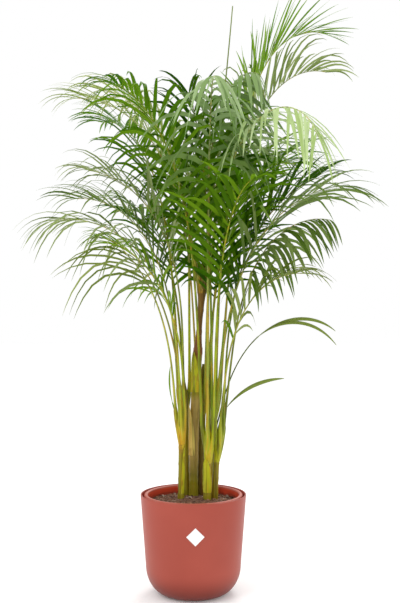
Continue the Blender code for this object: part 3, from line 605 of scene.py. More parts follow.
def along(points, share):
    """The point at a share of a curve, and the direction there."""
    at = share * (len(points) - 1)
    i = min(int(at), len(points) - 2)
    low, high = max(i - 2, 0), min(i + 3, len(points) - 1)
    direction = points[high] - points[low]
    return points[i] + (points[i + 1] - points[i]) * (at - i), direction / np.linalg.norm(direction)


def section_frame(point, ahead, side, half_width, half_height, roll=0.0):
    side = side - ahead * side.dot(ahead)
    side = side / np.linalg.norm(side)
    upper = np.cross(ahead, side)
    cos, sin = math.cos(roll), math.sin(roll)
    side, upper = side * cos + upper * sin, upper * cos - side * sin
    matrix = Matrix.Identity(4)
    for column, vector in enumerate((side * half_width, upper * half_height, ahead, point)):
        for row in range(3):
            matrix[row][column] = vector[row]
    return matrix


# %% Extruded tube
def extruded_tube(bm, sides, frames, shape=None, material=0):
    """Extrude a circle through the frames. Shape moves a section's point, given its x, y and frame number."""
    start = bmesh.ops.create_circle(bm, cap_ends=True, segments=sides, radius=1, matrix=frames[0])
    end = first = start["verts"][0].link_faces[0]
    rings = [start["verts"]]
    for before, after in zip(frames, frames[1:]):
        grown = bmesh.ops.extrude_face_region(bm, geom=[end])["geom"]
        verts = [item for item in grown if isinstance(item, bmesh.types.BMVert)]
        if end.is_valid and end is not first:
            bmesh.ops.delete(bm, geom=[end], context="FACES_ONLY")
        end = next(item for item in grown if isinstance(item, bmesh.types.BMFace)
                   and set(item.verts) == set(verts))
        bmesh.ops.transform(bm, matrix=after @ before.inverted(), verts=verts)
        rings.append(verts)
    uv = bm.loops.layers.uv.verify()
    length, where = 0.0, {}
    for i, (ring, matrix) in enumerate(zip(rings, frames)):
        if i:
            length += (matrix.translation - frames[i - 1].translation).length
        inverse = matrix.inverted()
        local = {vert: inverse @ vert.co for vert in ring}
        ordered = sorted(ring, key=lambda vert: math.atan2(local[vert].y, local[vert].x))
        for k, vert in enumerate(ordered):
            where[vert] = (k, length)
            if shape:
                vert.co = matrix @ Vector((*shape(local[vert].x, local[vert].y, i), 0))
    for face in {face for vert in where for face in vert.link_faces}:
        places = [where[loop.vert][0] for loop in face.loops]
        seam = len(places) == 4 and max(places) - min(places) > 1
        face.material_index = material
        for loop in face.loops:
            k, v = where[loop.vert]
            loop[uv].uv = ((k + sides if seam and k == 0 else k) / sides, v)
    return rings


# %% [markdown]
# ## Canes
# An areca cane looks like thin bamboo. Each fallen leaf leaves a scar that runs right round, a slightly
# swollen pale ring with a dark line in it, and the lengths between the rings are smooth and waxy. Old
# canes turn grey and brown from the soil up, and young ones stay yellow-green. The swelling is modelled;
# the lines and the waxy bloom are painted from the same height, so they fall on the swellings.

# %% Cane finish
RING_SPACING = {"cane_2": 0.047, "cane_3": 0.041}
COMMON_RING_SPACING = 0.034
RAMP_FOOT, RAMP_SPAN = 0.20, 0.60


def bark_grain(finish, place):
    """Three noises, fine to coarse, that run on from a cane to whatever is wrapped round it."""
    return [finish.speckle(finish.stretch(place, size), 1, detail)
            for size, detail in (((260, 260, 12), 4), ((120, 120, 7), 2), ((60, 60, 26), 4))]


def weathered(finish, grain, body, share):
    """Amber and dark stripes, pale streaks and rusty blotches over a colour."""
    streaks, stripes, blotch = grain
    return finish.over(
        body,
        (stripes.step(0.54, 0.62) * 0.45 * share, (0.560, 0.270, 0.010)),
        ((1 - stripes.step(0.38, 0.47)) * 0.65 * share, (0.070, 0.080, 0.001)),
        (streaks.step(0.56, 0.66) * 0.40 * share, (0.130, 0.070, 0.003)),
        ((1 - streaks.step(0.34, 0.44)) * 0.40 * share, (0.560, 0.500, 0.090)),
        (blotch.step(0.60, 0.70) * 0.45 * share, (0.200, 0.060, 0.008)))


def cane_finish(name, stops, wear, spacing):
    """A waxy bark. Stops are pairs of a height and a colour, and wear is how strongly it is marked."""
    finish = Finish(name)
    place = finish.place()
    height = finish.split(place, "Z")
    grain = bark_grain(finish, place)
    streaks, _, blotch = grain
    from_middle = ((finish.uv("Y") / spacing).math("FRACT") - 0.5).math("ABSOLUTE")
    ring = from_middle.step(0.460, 0.485)
    pale = from_middle.step(0.36, 0.44) * (1 - ring)
    ramp = [((level - RAMP_FOOT) / RAMP_SPAN, colour) for level, colour in stops]
    level = (height + 0.03 * (blotch - 0.5) - RAMP_FOOT) / RAMP_SPAN
    body = finish.node("ValToRGB", {"stops": ramp}, {0: level})
    body = finish.over(weathered(finish, grain, body, wear), (pale * 0.3, (0.560, 0.500, 0.140)),
                       (ring * 0.55, (0.120, 0.060, 0.010)))
    return finish.done(base_color=body, roughness=0.26 + 0.20 * blotch, specular_ior_level=0.22,
                       normal=finish.relief(streaks * 0.6 + blotch * 0.4 - ring, 0.0005, 0.6))


# %% Cane shape
CANE_FOOT_HEIGHT, CANE_SIDES = 0.143, 20
STOUTER = {"cane_6": 0.0022}
BUTT_HEIGHT, TIP_LENGTH = 0.228, 0.030      # below one a cane swells, and over the other it tapers
WAIST_LOW, WAIST_HIGH, WAIST_DEPTH = 0.53, 0.65, 0.0042      # the tall cane thins below its crown
RING_SWELL, RING_FROM, BARK_DEPTH, WOBBLE = 0.0007, 0.72, 0.0004, 0.0004


def waist(height):
    """How much thinner the tall cane is at a height."""
    share = min(max((height - WAIST_LOW) / (WAIST_HIGH - WAIST_LOW), 0), 1)
    return WAIST_DEPTH * math.sin(math.pi * share) ** 0.5


def grow_cane(cane, finish):
    """A tube with a swollen ring at every leaf scar and a top that tapers into the crown."""
    _, (_, _, top), radius, _ = CANES[cane]
    spacing = RING_SPACING.get(cane, COMMON_RING_SPACING)
    count = math.ceil((top - CANE_FOOT_HEIGHT) / STEP)
    frames = []
    for i in range(count + 1):
        height = CANE_FOOT_HEIGHT + (top - CANE_FOOT_HEIGHT) * i / count
        from_ring = abs((height - CANE_FOOT_HEIGHT) / spacing % 1 - 0.5) * 2
        ring = RING_SWELL * max(0, from_ring - RING_FROM) / (1 - RING_FROM)
        butt = max(0, BUTT_HEIGHT - height) / 30
        wobble = WOBBLE * noise.noise(Vector((radius * 900, height * 28, 0)))
        taper = min(1, 0.35 + 0.65 * (top - height) / TIP_LENGTH)
        r = (radius - BARK_DEPTH + ring + butt + wobble + STOUTER.get(cane, 0) - waist(height)) * taper
        frames.append(section_frame(np.array(cane_centre(cane, height)), UP, EAST, r, r))
    bm = bmesh.new()
    extruded_tube(bm, CANE_SIDES, frames)
    finish_piece(cane + "_bark", bm, [finish], [cane], sharp=60)


LIME, AMBER, UMBER = (0.400, 0.410, 0.003), (0.520, 0.300, 0.008), (0.130, 0.065, 0.008)
TAN, RED_BROWN, OLIVE = (0.740, 0.540, 0.140), (0.230, 0.035, 0.012), (0.270, 0.280, 0.006)
# each cane's finish: its name, the colours up the bark and how marked it is
BARKS = {
    "cane_1": ("cane_yellow_green", [(0.29, LIME), (0.32, AMBER), (0.37, LIME)], 0.8),
    "cane_2": ("cane_grey_brown", [(0.225, LIME), (0.25, OLIVE), (0.30, TAN), (0.41, TAN), (0.43, LIME),
                                   (0.50, LIME), (0.52, RED_BROWN), (0.60, UMBER)], 0.5),
    "cane_3": ("cane_dark", [(0.21, UMBER), (0.35, OLIVE)], 0.8),
    "cane_4": ("cane_gold", [(0.23, LIME), (0.26, AMBER), (0.29, LIME)], 0.8),
    "cane_5": ("cane_green", [(0.21, LIME), (0.26, LIME)], 0.9),
}
for twin in ("cane_6", "cane_7"):
    BARKS[twin] = BARKS["cane_5"]


def bark_colour(cane, height):
    """The plain colour of a cane's bark at a height."""
    levels, colours = zip(*BARKS[cane][1])
    return np.array([np.interp(height, levels, channel) for channel in zip(*colours)])


CANE_FINISHES = {}
for cane in CANES:
    bark, stops, wear = BARKS[cane]
    if bark not in CANE_FINISHES:
        CANE_FINISHES[bark] = cane_finish(bark, stops, wear, RING_SPACING.get(cane, COMMON_RING_SPACING))
    grow_cane(cane, CANE_FINISHES[bark])
print("canes grown")

# %% [markdown]
# ## Leaf finish
# A leaflet is a folded ribbon with a raised midrib and fine veins that run its whole length. Its underside
# is paler and duller, its tip dries brown first, and light shines through it. One function makes the
# finish; each frond brings its own colour in an attribute called `tint`, whose alpha says how far the
# drying has crept down from the tip, and each material lets through light of one constant colour.

# %% Leaf finish
def leaf_finish(name, glow, glow_share):
    finish = Finish(name)
    u, v = finish.uv("X"), finish.uv("Y")
    tint, drying = finish.painted("tint"), finish.painted("tint", "Alpha")
    place = finish.place()
    across = ((u * 2).math("FRACT") - 0.5).math("ABSOLUTE") * 2
    underside = u.step(0.4999, 0.5001)
    veins = (across * 44).math("SINE") * 0.5 + 0.5
    midrib = 1 - across.step(0.02, 0.11)
    mottle = finish.speckle(place, 55, 4)
    leaf = finish.mix(0.30 * mottle + 0.14 * veins, tint, (0.30, 0.44, 0.02), "SOFT_LIGHT")
    dying = v + 0.10 * (mottle - 0.5) + drying
    dry = dying.step(0.985, 1.02)
    edge = dying.step(0.92, 0.99) * (1 - dry)
    leaf = finish.over(leaf, (underside * 0.22, (0.24, 0.34, 0.09)), (midrib * 0.4, (0.42, 0.48, 0.05)),
                       (edge * 0.6, (0.45, 0.42, 0.08)), (dry * 0.85, (0.26, 0.13, 0.05)))
    return finish.done(glow=glow, glow_share=glow_share, base_color=leaf, specular_ior_level=0.06,
                       roughness=0.42 + 0.14 * mottle + 0.16 * underside,
                       normal=finish.relief(veins * 0.4 + midrib, 0.00025, 0.7))


# a shade of frond: the light through it and how much, the two colours its leaflets are mixed from, its stalk
Shade = namedtuple("Shade", "glow glow_share dark light stalk")
SHADES = {name: Shade(*rest) for name, *rest in [
    ("deep_green", (0.2, 0.46, 0.001), 0.32, (0.026, 0.082, 0.001), (0.11, 0.22, 0.004), (0.17, 0.25, 0.004)),
    ("green", (0.30, 0.58, 0.002), 0.36, (0.052, 0.136, 0.001), (0.19, 0.33, 0.010), (0.25, 0.31, 0.006)),
    ("olive", (0.42, 0.54, 0.05), 0.28, (0.15, 0.20, 0.03), (0.34, 0.39, 0.13), (0.29, 0.32, 0.008)),
    ("bright", (0.38, 0.64, 0.01), 0.34, (0.12, 0.23, 0.004), (0.30, 0.42, 0.04), (0.34, 0.40, 0.008)),
    ("vivid", (0.44, 0.68, 0.03), 0.34, (0.13, 0.28, 0.004), (0.35, 0.49, 0.07), (0.28, 0.41, 0.010)),
    ("light", (0.62, 0.74, 0.24), 0.36, (0.34, 0.41, 0.13), (0.58, 0.62, 0.32), (0.36, 0.39, 0.024)),
    ("mist", (0.50, 0.62, 0.20), 0.32, (0.22, 0.28, 0.10), (0.44, 0.50, 0.26), (0.26, 0.32, 0.012)),
    ("sage", (0.34, 0.50, 0.10), 0.28, (0.10, 0.17, 0.024), (0.29, 0.37, 0.13), (0.22, 0.28, 0.010)),
    ("grey_green", (0.38, 0.54, 0.20), 0.26, (0.23, 0.35, 0.13), (0.48, 0.61, 0.35), (0.26, 0.31, 0.012)),
    ("pale", (0.78, 0.88, 0.58), 0.42, (0.48, 0.60, 0.27), (0.76, 0.85, 0.59), (0.33, 0.39, 0.022)),
]}
LEAF_FINISHES = {name: leaf_finish("leaf_" + name, shade.glow, shade.glow_share)
                 for name, shade in SHADES.items()}
PAINTED_SHEEN_FROM = {"grey_green": 0.55, "pale": 0.30}     # where along a grey-green or pale frond its painted sheen, the paler colour of leaflets catching the light, is complete


# %% Stalk finish
def stalk_finish():
    """Waxy yellow-green, paler on the sleeve, with streaks along it, a painted shade down its upper side and
    dark scurf near the cane.
    """
    finish = Finish("stalk_yellow_green")
    around, up = finish.uv("X"), finish.uv("Y")
    tint = finish.painted("tint")
    place = finish.place()
    line = finish.node("CombineXYZ", sockets={0: around * 5, 1: up * 14, 2: finish.split(tint, "X") * 30})
    streaks = finish.speckle(line, 1, 3)
    # painted shade: the upper half of the stalk is darker all along its length, as if in its own shadow
    painted_shade_side = ((around - 0.5) * math.tau).math("SINE").step(-0.25, 0.55)
    scurf = finish.speckle(place, 320, 3)
    free = up.step(0.02, 0.12)
    body = finish.over(
        tint,
        ((1 - streaks.step(0.36, 0.48)) * 0.45 * free, (0.600, 0.580, 0.060)),
        (streaks.step(0.50, 0.62) * 0.55 * free, (0.080, 0.120, 0.002)),
        (painted_shade_side * 0.75 * free, (0.040, 0.085, 0.001)))
    body = weathered(finish, bark_grain(finish, place), body, 1 - up.step(0.0, 0.13))
    body = finish.mix(scurf.step(0.62, 0.72) * (1 - free) * 0.4, body, (0.110, 0.060, 0.010))
    return finish.done(base_color=body, roughness=0.28 + 0.2 * streaks, specular_ior_level=0.22,
                       normal=finish.relief(streaks, 0.0003, 0.5))


STALK_FINISH = stalk_finish()

# %% [markdown]
# ## One leaflet, copied a thousand times
# A leaflet is modelled once, straight, one unit long and one unit wide: a diamond section is extruded
# through stations whose width follows the blade, narrow where it is attached, widest a third of the way
# out, and drawn to a long fine tip. Then the two edges are pressed down, which folds it along the midrib.
# Every copy is bent onto its own path, so that no two are the same. It has only a few dozen faces.

# %% Leaflet pattern
LEAFLET_WIDTHS = [(0, 0.34), (0.035, 0.50), (0.10, 0.80), (0.20, 0.97), (0.34, 1.0), (0.50, 0.93),
                  (0.66, 0.74), (0.80, 0.50), (0.92, 0.24), (1, 0.03)]
LEAFLET_FOLD, LEAFLET_THICKNESS = 0.20, 0.045


def leaflet_pattern():
    frames = []
    for v, width in LEAFLET_WIDTHS:
        thin = LEAFLET_THICKNESS / 2 * (1.6 - v)
        frames.append(Matrix(((width / 2, 0, 0, 0), (0, 0, 1, v), (0, thin, 0, 0), (0, 0, 0, 1))))
    bm = bmesh.new()
    rings = extruded_tube(bm, 4, frames)
    bmesh.ops.recalc_face_normals(bm, faces=bm.faces[:])
    uv = bm.loops.layers.uv.verify()
    rims = {vert for ring in rings for vert in ring if abs(vert.co.x) > 1e-5}
    for face in bm.faces:
        below = face.normal.z < 0
        for loop in face.loops:
            x, y = loop.vert.co.x, loop.vert.co.y
            half = 0.25 if loop.vert in rims else 0.0
            u = 0.25 + math.copysign(half, x) if half else 0.25
            loop[uv].uv = (1 - u if below else u, y)
    for vert in rims:
        vert.co.z -= LEAFLET_FOLD * abs(vert.co.x)
    mesh = bpy.data.meshes.new("leaflet_pattern")
    bm.to_mesh(mesh)
    bm.free()
    return mesh


LEAFLET = leaflet_pattern()
LEAFLET_POINTS = np.array([vert.co for vert in LEAFLET.vertices])
print("a leaflet has", len(LEAFLET.polygons), "faces")


# %% [markdown]
# ## Bending a leaflet
# A leaflet leaves the stalk at an angle, wide near the cane and narrow near the frond's tip. It starts out
# straight, because its base is stiff, and gives way to its own weight more and more towards its tip. Its
# blade twists a little as it goes. The path is walked in short steps, and the pattern's points are then
# carried from the straight leaflet to the path.

# %% Leaflet path
def leaflet_frames(root, ahead, direction, droop, limp, length, twist, side_sign, steps=24):
    """Points, width vectors and face vectors along a bent leaflet."""
    points, ways = [root], []
    for i in range(steps):
        way = direction - UP * droop * ((i + 0.5) / steps) ** limp
        way /= np.linalg.norm(way)
        ways.append(way)
        points.append(points[-1] + way * length / steps)
    ways.append(ways[-1])
    width = ahead * side_sign
    widths, faces = [], []
    for i, way in enumerate(ways):
        width = width - way * width.dot(way)
        width /= np.linalg.norm(width)
        face = np.cross(width, way)
        turn = twist * (i / steps)
        widths.append(width * math.cos(turn) + face * math.sin(turn))
        faces.append(np.cross(widths[-1], way))
    return np.array(points), np.array(widths), np.array(faces)


def carried(points, widths, faces, blade_width):
    """The pattern's points on a leaflet's path."""
    at = LEAFLET_POINTS[:, 1] * (len(points) - 1)
    low = np.minimum(at.astype(int), len(points) - 2)
    share = (at - low)[:, None]

    def between(rows):
        return rows[low] * (1 - share) + rows[low + 1] * share
    across = LEAFLET_POINTS[:, :1] * blade_width
    thick = LEAFLET_POINTS[:, 2:] * blade_width
    return between(points) + between(widths) * across + between(faces) * thick


# %% Space already taken
def tube_tree(points, radii):
    """A coarse outside of a stalk or cane, to test leaflets against."""
    bm = bmesh.new()
    picks = np.linspace(0, len(points) - 1, 36).astype(int)
    side = EAST
    frames = []
    for low, high in zip(picks, picks[1:]):
        way = points[high] - points[low]
        way /= np.linalg.norm(way)
        side = side - way * side.dot(way)
        side = side / np.linalg.norm(side)
        frames.append(section_frame(points[low], way, side, radii[low], radii[low]))
    extruded_tube(bm, 5, frames)
    tree = BVHTree.FromBMesh(bm)
    bm.free()
    return tree


STALK_TREES = {row.name: tube_tree(CURVES[row.name], stalk_radii(len(CURVES[row.name]), row.bare))
               for row in FRONDS}
for cane, (_, (_, _, top), radius, _) in CANES.items():
    heights = np.linspace(SOIL_EDGE_HEIGHT, top, 60)
    centres = np.array([cane_centre(cane, height) for height in heights])
    STALK_TREES[cane] = tube_tree(centres, np.full(len(heights), radius))


def hits_a_stalk(points, own):
    """Whether a leaflet's midrib runs through another stalk or a cane."""
    for a, b in zip(points[2:-1:3], points[5::3]):
        way = Vector(b - a)
        for name, tree in STALK_TREES.items():
            if name != own and tree.ray_cast(Vector(a), way.normalized(), way.length)[0] is not None:
                return True
    return False


# %% [markdown]
# ## Fronds
# A frond is one leaf. Its base is a sleeve that clasps the cane; the sleeve narrows into a bare stalk,
# grooved on its upper side, and the stalk carries two rows of leaflets that stand up in a shallow V. The
# sleeve, the stalk and all leaflets are one piece here, as they are on the plant. Leaflets of a real frond
# are never quite regular, so each one's angle, length, droop and twist stray a little, always the same
# way, because the random numbers are seeded by the frond's place in the list.

# %% Sleeve and stalk
SLEEVE_LENGTH, SLEEVE_WALL, SLEEVE_BULGE, SLEEVE_STEPS = 0.042, 0.0006, 0.0010, 14
MERGE, STALK_SIDES = 10, 10     # the curve point where a sleeve has become a stalk
GROOVE = (0.35, 0.40)           # how much the upper side is flattened, and sunk in its middle


def stalk_frames(row, points, radii):
    """Frames from the foot of the sleeve, round the cane, to the stalk's tip, and how flat each one is."""
    cane, height = row.cane, row.height
    radius = CANES[cane][2]
    level_side = heading_vector(row.heading + 90)
    frames, grooves = [], []
    for i in range(SLEEVE_STEPS):
        t = i / SLEEVE_STEPS
        blend = t * t * (3 - 2 * t)
        low = np.array(cane_centre(cane, height - SLEEVE_LENGTH * (1 - t) + 0.02 * t))
        target, _ = along(points, t * MERGE / (len(points) - 1))
        centre = low * (1 - blend) + target * blend
        centre[2] = (height - SLEEVE_LENGTH) * (1 - t) + target[2] * t
        bulge = SLEEVE_BULGE * math.sin(math.pi * t) * (1 - 0.5 * t)
        around = radius + SLEEVE_WALL * min(1, 0.2 + 4 * t) + bulge
        half = around * (1 - blend) + radii[0] * blend
        frames.append(section_frame(centre, UP, level_side, half, half))
        grooves.append(0.0)
    count = max(24, round((len(points) - MERGE) / 4))
    for i in range(count + 1):
        share = (MERGE + (len(points) - 1 - MERGE) * i / count) / (len(points) - 1)
        point, ahead = along(points, share)
        r = float(np.interp(share, np.linspace(0, 1, len(points)), radii))
        frames.append(section_frame(point, ahead, level_side, r, r * 0.92))
        grooves.append(min(1, i / 5))
    return frames, grooves


def frond_stalk(bm, row, points, radii, tint_layer, tone):
    frames, grooves = stalk_frames(row, points, radii)

    def grooved(x, y, i):
        """Flatten the upper side of the section and sink a channel into it."""
        if y <= 0:
            return x, y
        return x, y * (1 - grooves[i] * (GROOVE[0] + GROOVE[1] * (1 - min(1, abs(x) * 1.6))))
    rings = extruded_tube(bm, STALK_SIDES, frames, grooved, material=1)
    shade = SHADES[row.shade]
    tint, green = np.array(shade.stalk) * tone, np.array(shade.light)
    bark = bark_colour(row.cane, row.height - SLEEVE_LENGTH)
    for i, ring in enumerate(rings):
        greener, climb = 0.6 * (i / len(rings)) ** 2, min(1, i / SLEEVE_STEPS)
        colour = tint * (1 - greener) + green * greener
        colour = bark * (1 - climb) + colour * climb
        for vert in ring:
            vert[tint_layer] = (*colour, 0)


# %% Leaflets
OPENING = (52, 22)      # degrees from the stalk at the first leaflet and at the last
OPENING_STRAY, TWIST_STRAY, LIFT_STRAY = 5.0, 22, 9
# more swing and more lift, tried in turn by a leaflet that would run through a stalk
TURNS = ((0, 0), (7, 0), (-7, 8), (12, -12), (-12, 14), (0, 24), (0, -26))


def frond_leaflets(bm, row, points, tint_layer, chance):
    """Two rows of leaflets in turn, from the first to the frond's tip."""
    dark, light = np.array(SHADES[row.shade].dark), np.array(SHADES[row.shade].light)
    plain_dark, plain_light = np.array(SHADES["green"].dark), np.array(SHADES["green"].light)
    level_side = heading_vector(row.heading + 90)
    count = 2 * row.pairs
    for i in range(count):
        q = i / (count - 1)
        root, ahead = along(points, row.bare + (1 - row.bare) * (0.01 + 0.985 * q))
        side = level_side - ahead * level_side.dot(ahead)
        side /= np.linalg.norm(side)
        upper = np.cross(ahead, side)
        side_sign = 1 if i % 2 else -1
        length = row.leaflet * (0.78 + 0.40 * math.sin(math.pi * min(1, 0.85 * q + 0.15)) - 0.25 * q ** 3)
        length *= chance.uniform(0.84, 1.06) * (1 - 0.35 * max(0, 0.08 - q) / 0.08)
        opening = math.radians(OPENING[0] + (OPENING[1] - OPENING[0]) * q + chance.gauss(0, OPENING_STRAY))
        weight = row.droop * chance.uniform(0.6, 1.4)
        twist = math.radians(chance.gauss(0, TWIST_STRAY))
        lift = math.radians(row.rise + chance.gauss(0, LIFT_STRAY))
        for swing, more_lift in TURNS:
            angle, stand = opening + math.radians(swing), lift + math.radians(more_lift)
            direction = ahead * math.cos(angle) + math.sin(angle) * (
                side * side_sign * math.cos(stand) + upper * math.sin(stand))
            path = leaflet_frames(root, ahead, direction, weight, row.limp, length, twist, side_sign)
            if not hits_a_stalk(path[0], row.name):
                break
        width = row.width * chance.uniform(0.88, 1.08)
        width *= 0.70 + 0.42 * math.sin(math.pi * min(1, 0.25 + 0.62 * q))
        tone = min(1.3, max(0, chance.gauss(0.45, 0.36)))
        # painted light: a grey-green or pale frond's leaflets go from plain green near its foot to its own
        # paler colour towards its tip, where they catch the light
        sheen_share = min(1, q / PAINTED_SHEEN_FROM.get(row.shade, 0.01))
        drying = chance.uniform(0.01, 0.05) if chance.random() < 0.8 else chance.uniform(0.08, 0.25)
        own_colour = dark * (1 - tone) + light * tone
        plain = plain_dark * (1 - tone) + plain_light * tone
        colour = (*(own_colour * sheen_share + plain * (1 - sheen_share)), drying)
        first = len(bm.verts)
        bm.from_mesh(LEAFLET)
        bm.verts.ensure_lookup_table()
        for vert, place in zip(bm.verts[first:], carried(*path, width)):
            vert.co = place
            vert[tint_layer] = colour
    return count


# %% Grow the fronds
def grow_frond(number, row):
    points = CURVES[row.name]
    radii = stalk_radii(len(points), row.bare)
    bm = bmesh.new()
    tint_layer = bm.verts.layers.float_color.new("tint")
    chance = random.Random(number)
    frond_stalk(bm, row, points, radii, tint_layer, chance.uniform(0.60, 1.20))
    bmesh.ops.recalc_face_normals(bm, faces=bm.faces[:])
    made = frond_leaflets(bm, row, points, tint_layer, chance)
    finish_piece("leafy_" + row.name, bm, [LEAF_FINISHES[row.shade], STALK_FINISH],
                 ["frond_" + row.name], sharp=50, recalculate=False)
    return made


total = sum(grow_frond(number, row) for number, row in enumerate(FRONDS))
print(total, "leaflets grown")


# %% [markdown]
# ## The undivided leaves
# A frond starts as a spear, all its leaflets folded together, and this plant holds one up high. Low on the
# clump there are three small leaves that never divided. All four are tubes: a round thin stalk that
# flattens into a blade, widest in its middle.

# %% Blades
TWO_LOBES = {"small_leaf_right_high": 0.030}       # how far apart the two tips hang
BLADE_STEPS, BLADE_FOLD = 60, 0.30


def grow_lobe(bm, row, sag):
    """A stem and its blade. Sag parts a second lobe from the first."""
    points = CURVES[row.name]
    level_side = heading_vector(row.heading + 90)
    frames, folds = [], []
    for i in range(BLADE_STEPS + 1):
        share = i / BLADE_STEPS
        point, ahead = along(points, share)
        stem = BLADE_STEM_RADIUS * (1 - 0.3 * share)
        spread = max(0, (share - row.bare) / (1 - row.bare))
        swell = math.sin(math.pi * min(1, 0.04 + 0.94 * spread)) ** 0.8 if spread > 0 else 0
        half_width = max(stem * (1 - share ** 4), row.width / 2 * swell, 0.0004)
        half_height = stem if spread == 0 else max(row.thickness / 2 * (1 - 0.5 * spread), 0.0003)
        point = point - UP * sag * spread ** 2 - level_side * 0.4 * sag * spread
        frames.append(section_frame(point, ahead, level_side, half_width, half_height,
                                    math.radians(row.roll) * share))
        folds.append(half_width / half_height * BLADE_FOLD if spread > 0 and row is not SPEAR else 0)
    rings = extruded_tube(bm, 8, frames, lambda x, y, i: (x, y - folds[i] * abs(x)))
    uv = bm.loops.layers.uv.verify()
    loops = [loop for face in {face for ring in rings for vert in ring for face in vert.link_faces}
             for loop in face.loops]
    length = max(loop[uv].uv.y for loop in loops)
    for loop in loops:
        loop[uv].uv.y /= length


def grow_blade(row):
    bm = bmesh.new()
    tint_layer = bm.verts.layers.float_color.new("tint")
    for sag in sorted({0, TWO_LOBES.get(row.name, 0)}):
        grow_lobe(bm, row, sag)
    shade = SHADES[row.shade]
    colour = (*(0.5 * (np.array(shade.dark) + np.array(shade.light))), 0.06)
    for vert in bm.verts:
        vert[tint_layer] = colour
    finish_piece(row.name + "_blade", bm, [LEAF_FINISHES[row.shade]], [row.name], sharp=60)


for row in BLADES:
    grow_blade(row)


# %% [markdown]
# ## Dry sheaths
# When a leaf dies, its sleeve dries to brown fibre, splits and hangs on the cane for years. Each one here
# is part of a sleeve: lines of points round the cane are bridged from foot to tip, the tip is torn into
# uneven points, and the skin is then given its thickness.

# %% Dry sheaths
def dry_finish(name, bark, fresh, dry):
    """Fibre that starts in the bark's own colour at its foot and dries towards its tip and edges."""
    finish = Finish(name)
    place = finish.place()
    across, up = (finish.uv("X") - 0.5).math("ABSOLUTE") * 2, finish.uv("Y")
    fibres = finish.speckle(finish.stretch(place, (520, 520, 22)), 1, 4)
    patches = finish.speckle(finish.stretch(place, (90, 90, 40)), 1, 3)
    dried = (up + 0.35 * across + 0.5 * (patches - 0.5)).step(0.35, 0.85)
    rooted = 1 - (up + 0.25 * (patches - 0.5)).step(0.02, 0.30)
    colour = finish.mix(rooted, finish.mix(dried, fresh, dry), bark)
    colour = finish.over(
        weathered(finish, bark_grain(finish, place), colour, rooted),
        (fibres.step(0.50, 0.70) * 0.40 * (1 - rooted), (0.240, 0.100, 0.012)),
        ((1 - fibres.step(0.30, 0.42)) * 0.5 * (1 - rooted), (0.500, 0.330, 0.110)),
        (patches.step(0.60, 0.72) * 0.4, (0.240, 0.090, 0.020)))
    return finish.done(base_color=colour, roughness=0.60 + 0.2 * fibres, specular_ior_level=0.3,
                       normal=finish.relief(fibres, 0.0010, 0.8))


SHEATH_COLUMNS, SHEATH_ROWS, SHEATH_WALL = 22, 26, 0.0008


def grow_sheath(name, cane, foot, tip, facing, arc, flare, fresh, dry):
    inner = CANES[cane][2] + 2 * TOUCH
    bm = bmesh.new()
    uv = bm.loops.layers.uv.verify()
    lines, where = [], []
    for row in range(SHEATH_ROWS + 1):
        share = row / SHEATH_ROWS
        half_arc = math.radians(arc / 2) * (1 - 0.92 * share ** 2)
        line = []
        for column in range(SHEATH_COLUMNS + 1):
            across = 2 * column / SHEATH_COLUMNS - 1
            torn = 1 + 0.10 * noise.noise(Vector((across * 5, foot * 40, 0))) * share ** 2
            height = foot + (tip - foot) * share * min(1, torn)
            ripple = 0.0006 * noise.noise(Vector((across * 3, share * 6, foot * 50)))
            radius = inner + flare * share ** 3 + max(0, ripple)
            outward = Vector(heading_vector(facing + math.degrees(half_arc) * across))
            line.append(bm.verts.new(cane_centre(cane, height) + outward * radius))
            where.append((0.5 + across / 2, share))
        lines.append([bm.edges.new(pair) for pair in zip(line, line[1:])])
    for lower, upper in zip(lines, lines[1:]):
        bmesh.ops.bridge_loops(bm, edges=lower + upper)
    bm.verts.index_update()
    for face in bm.faces:
        for loop in face.loops:
            loop[uv].uv = where[loop.vert.index]
    skin = bmesh.ops.extrude_face_region(bm, geom=bm.faces[:])["geom"]
    for vert in (item for item in skin if isinstance(item, bmesh.types.BMVert)):
        wall = SHEATH_WALL * min(1, 0.15 + 5 * (vert.co.z - foot) / (tip - foot))
        vert.co += (vert.co - cane_centre(cane, vert.co.z)).normalized() * wall
    finish = dry_finish(name + "_fibre", tuple(bark_colour(cane, foot)), fresh, dry)
    finish_piece(name + "_fibre", bm, [finish], [name], sharp=50)


for name, sheath in SHEATHS.items():
    grow_sheath(name, *sheath)


# %% [markdown]
# ## Soil
# Potting soil is crumbs of peat, slivers of bark and a few pale grains. The ground under them is a turned
# solid whose top is roughened with noise. On top lie several hundred loose crumbs: squashed, uneven balls
# with a few dozen faces each, tinted brown, bark or pale by an attribute.

# %% Soil body
SOIL_MOUND, SOIL_RADIUS, SOIL_RINGS, SOIL_ROOM, SOIL_STAND = 0.009, 0.1012, 44, 0.003, 0.008


def soil_height(x, y):
    share = min(math.hypot(x, y) / SOIL_RADIUS, 1)
    rough = 0.0016 * noise.fractal(Vector((x * 55, y * 55, 3)), 0.8, 2.2, 4)
    return SOIL_EDGE_HEIGHT + SOIL_MOUND * (0.5 + 0.5 * math.cos(math.pi * share)) + rough


def soil_finish():
    finish = Finish("potting_soil")
    place = finish.place()
    grit = finish.speckle(place, 420, 6, 0.65)
    damp = finish.speckle(place, 24, 3)
    tint = finish.painted("tint")
    colour = finish.mix(grit.step(0.35, 0.75), (0.050, 0.022, 0.012), (0.300, 0.140, 0.080))
    colour = finish.mix(0.6, colour, tint)
    colour = finish.mix(damp.step(0.5, 0.8) * 0.4, colour, (0.040, 0.020, 0.012))
    return finish.done(base_color=colour, roughness=0.95, normal=finish.relief(grit, 0.0012, 0.9))


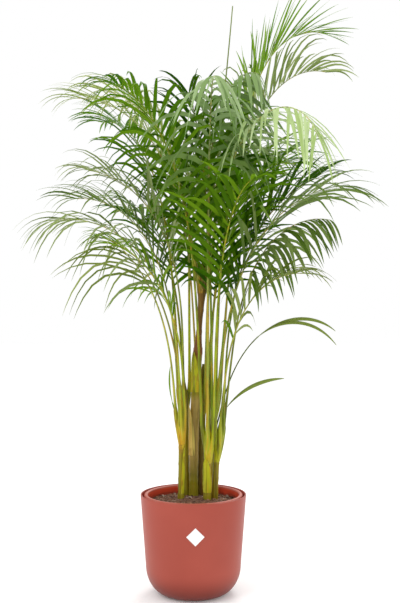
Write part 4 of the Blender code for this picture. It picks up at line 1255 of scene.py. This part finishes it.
SOIL_FINISH = soil_finish()
outline = [(0, SOIL_STAND), (FOOT_RADIUS - SOIL_ROOM, SOIL_STAND),
           (HEEL_RADIUS - SOIL_ROOM, SOIL_STAND + 0.020), (SOIL_RADIUS, SOIL_EDGE_HEIGHT - SOIL_ROOM)]
outline += [(SOIL_RADIUS * (1 - i / SOIL_RINGS), SOIL_EDGE_HEIGHT) for i in range(SOIL_RINGS + 1)]
soil = turned(outline, 150)
soil_tint = soil.verts.layers.float_color.new("tint")
for vert in soil.verts:
    vert[soil_tint] = (0.190, 0.090, 0.054, 1)
    if abs(vert.co.z - SOIL_EDGE_HEIGHT) < 1e-5:
        vert.co.z = soil_height(vert.co.x, vert.co.y)
finish_piece("soil_body", soil, [SOIL_FINISH], ["soil"], sharp=80)

# %% Crumbs
# each tint and how common it is
CRUMB_TINTS = {(0.090, 0.042, 0.024): 8, (0.230, 0.110, 0.062): 8, (0.38, 0.200, 0.110): 4,
               (0.62, 0.52, 0.42): 1}
CRUMBS = 900
chance = random.Random(5)
crumbs = bmesh.new()
crumb_tint = crumbs.verts.layers.float_color.new("tint")
for _ in range(CRUMBS):
    reach, angle = SOIL_RADIUS * 0.985 * math.sqrt(chance.random()), chance.uniform(0, math.tau)
    x, y = reach * math.cos(angle), reach * math.sin(angle)
    size = chance.triangular(0.0007, 0.0036, 0.0012)
    turn = Matrix.Rotation(chance.uniform(0, math.tau), 4, "Z")
    turn @= Matrix.Rotation(chance.uniform(-0.5, 0.5), 4, "X")
    squash = Matrix.Diagonal((chance.uniform(0.7, 2.2), chance.uniform(0.6, 1.1),
                              chance.uniform(0.4, 0.9), 1))
    spot = Matrix.Translation((x, y, soil_height(x, y) + size * 0.25)) @ turn @ squash
    made = bmesh.ops.create_icosphere(crumbs, subdivisions=1, radius=size, matrix=spot)["verts"]
    colour = chance.choices(list(CRUMB_TINTS), list(CRUMB_TINTS.values()))[0]
    for vert in made:
        vert.co += Vector(noise.noise_vector(vert.co * 900)) * size * 0.45
        vert[crumb_tint] = (*colour, 1)
finish_piece("soil_crumbs", crumbs, [SOIL_FINISH], sharp=30)
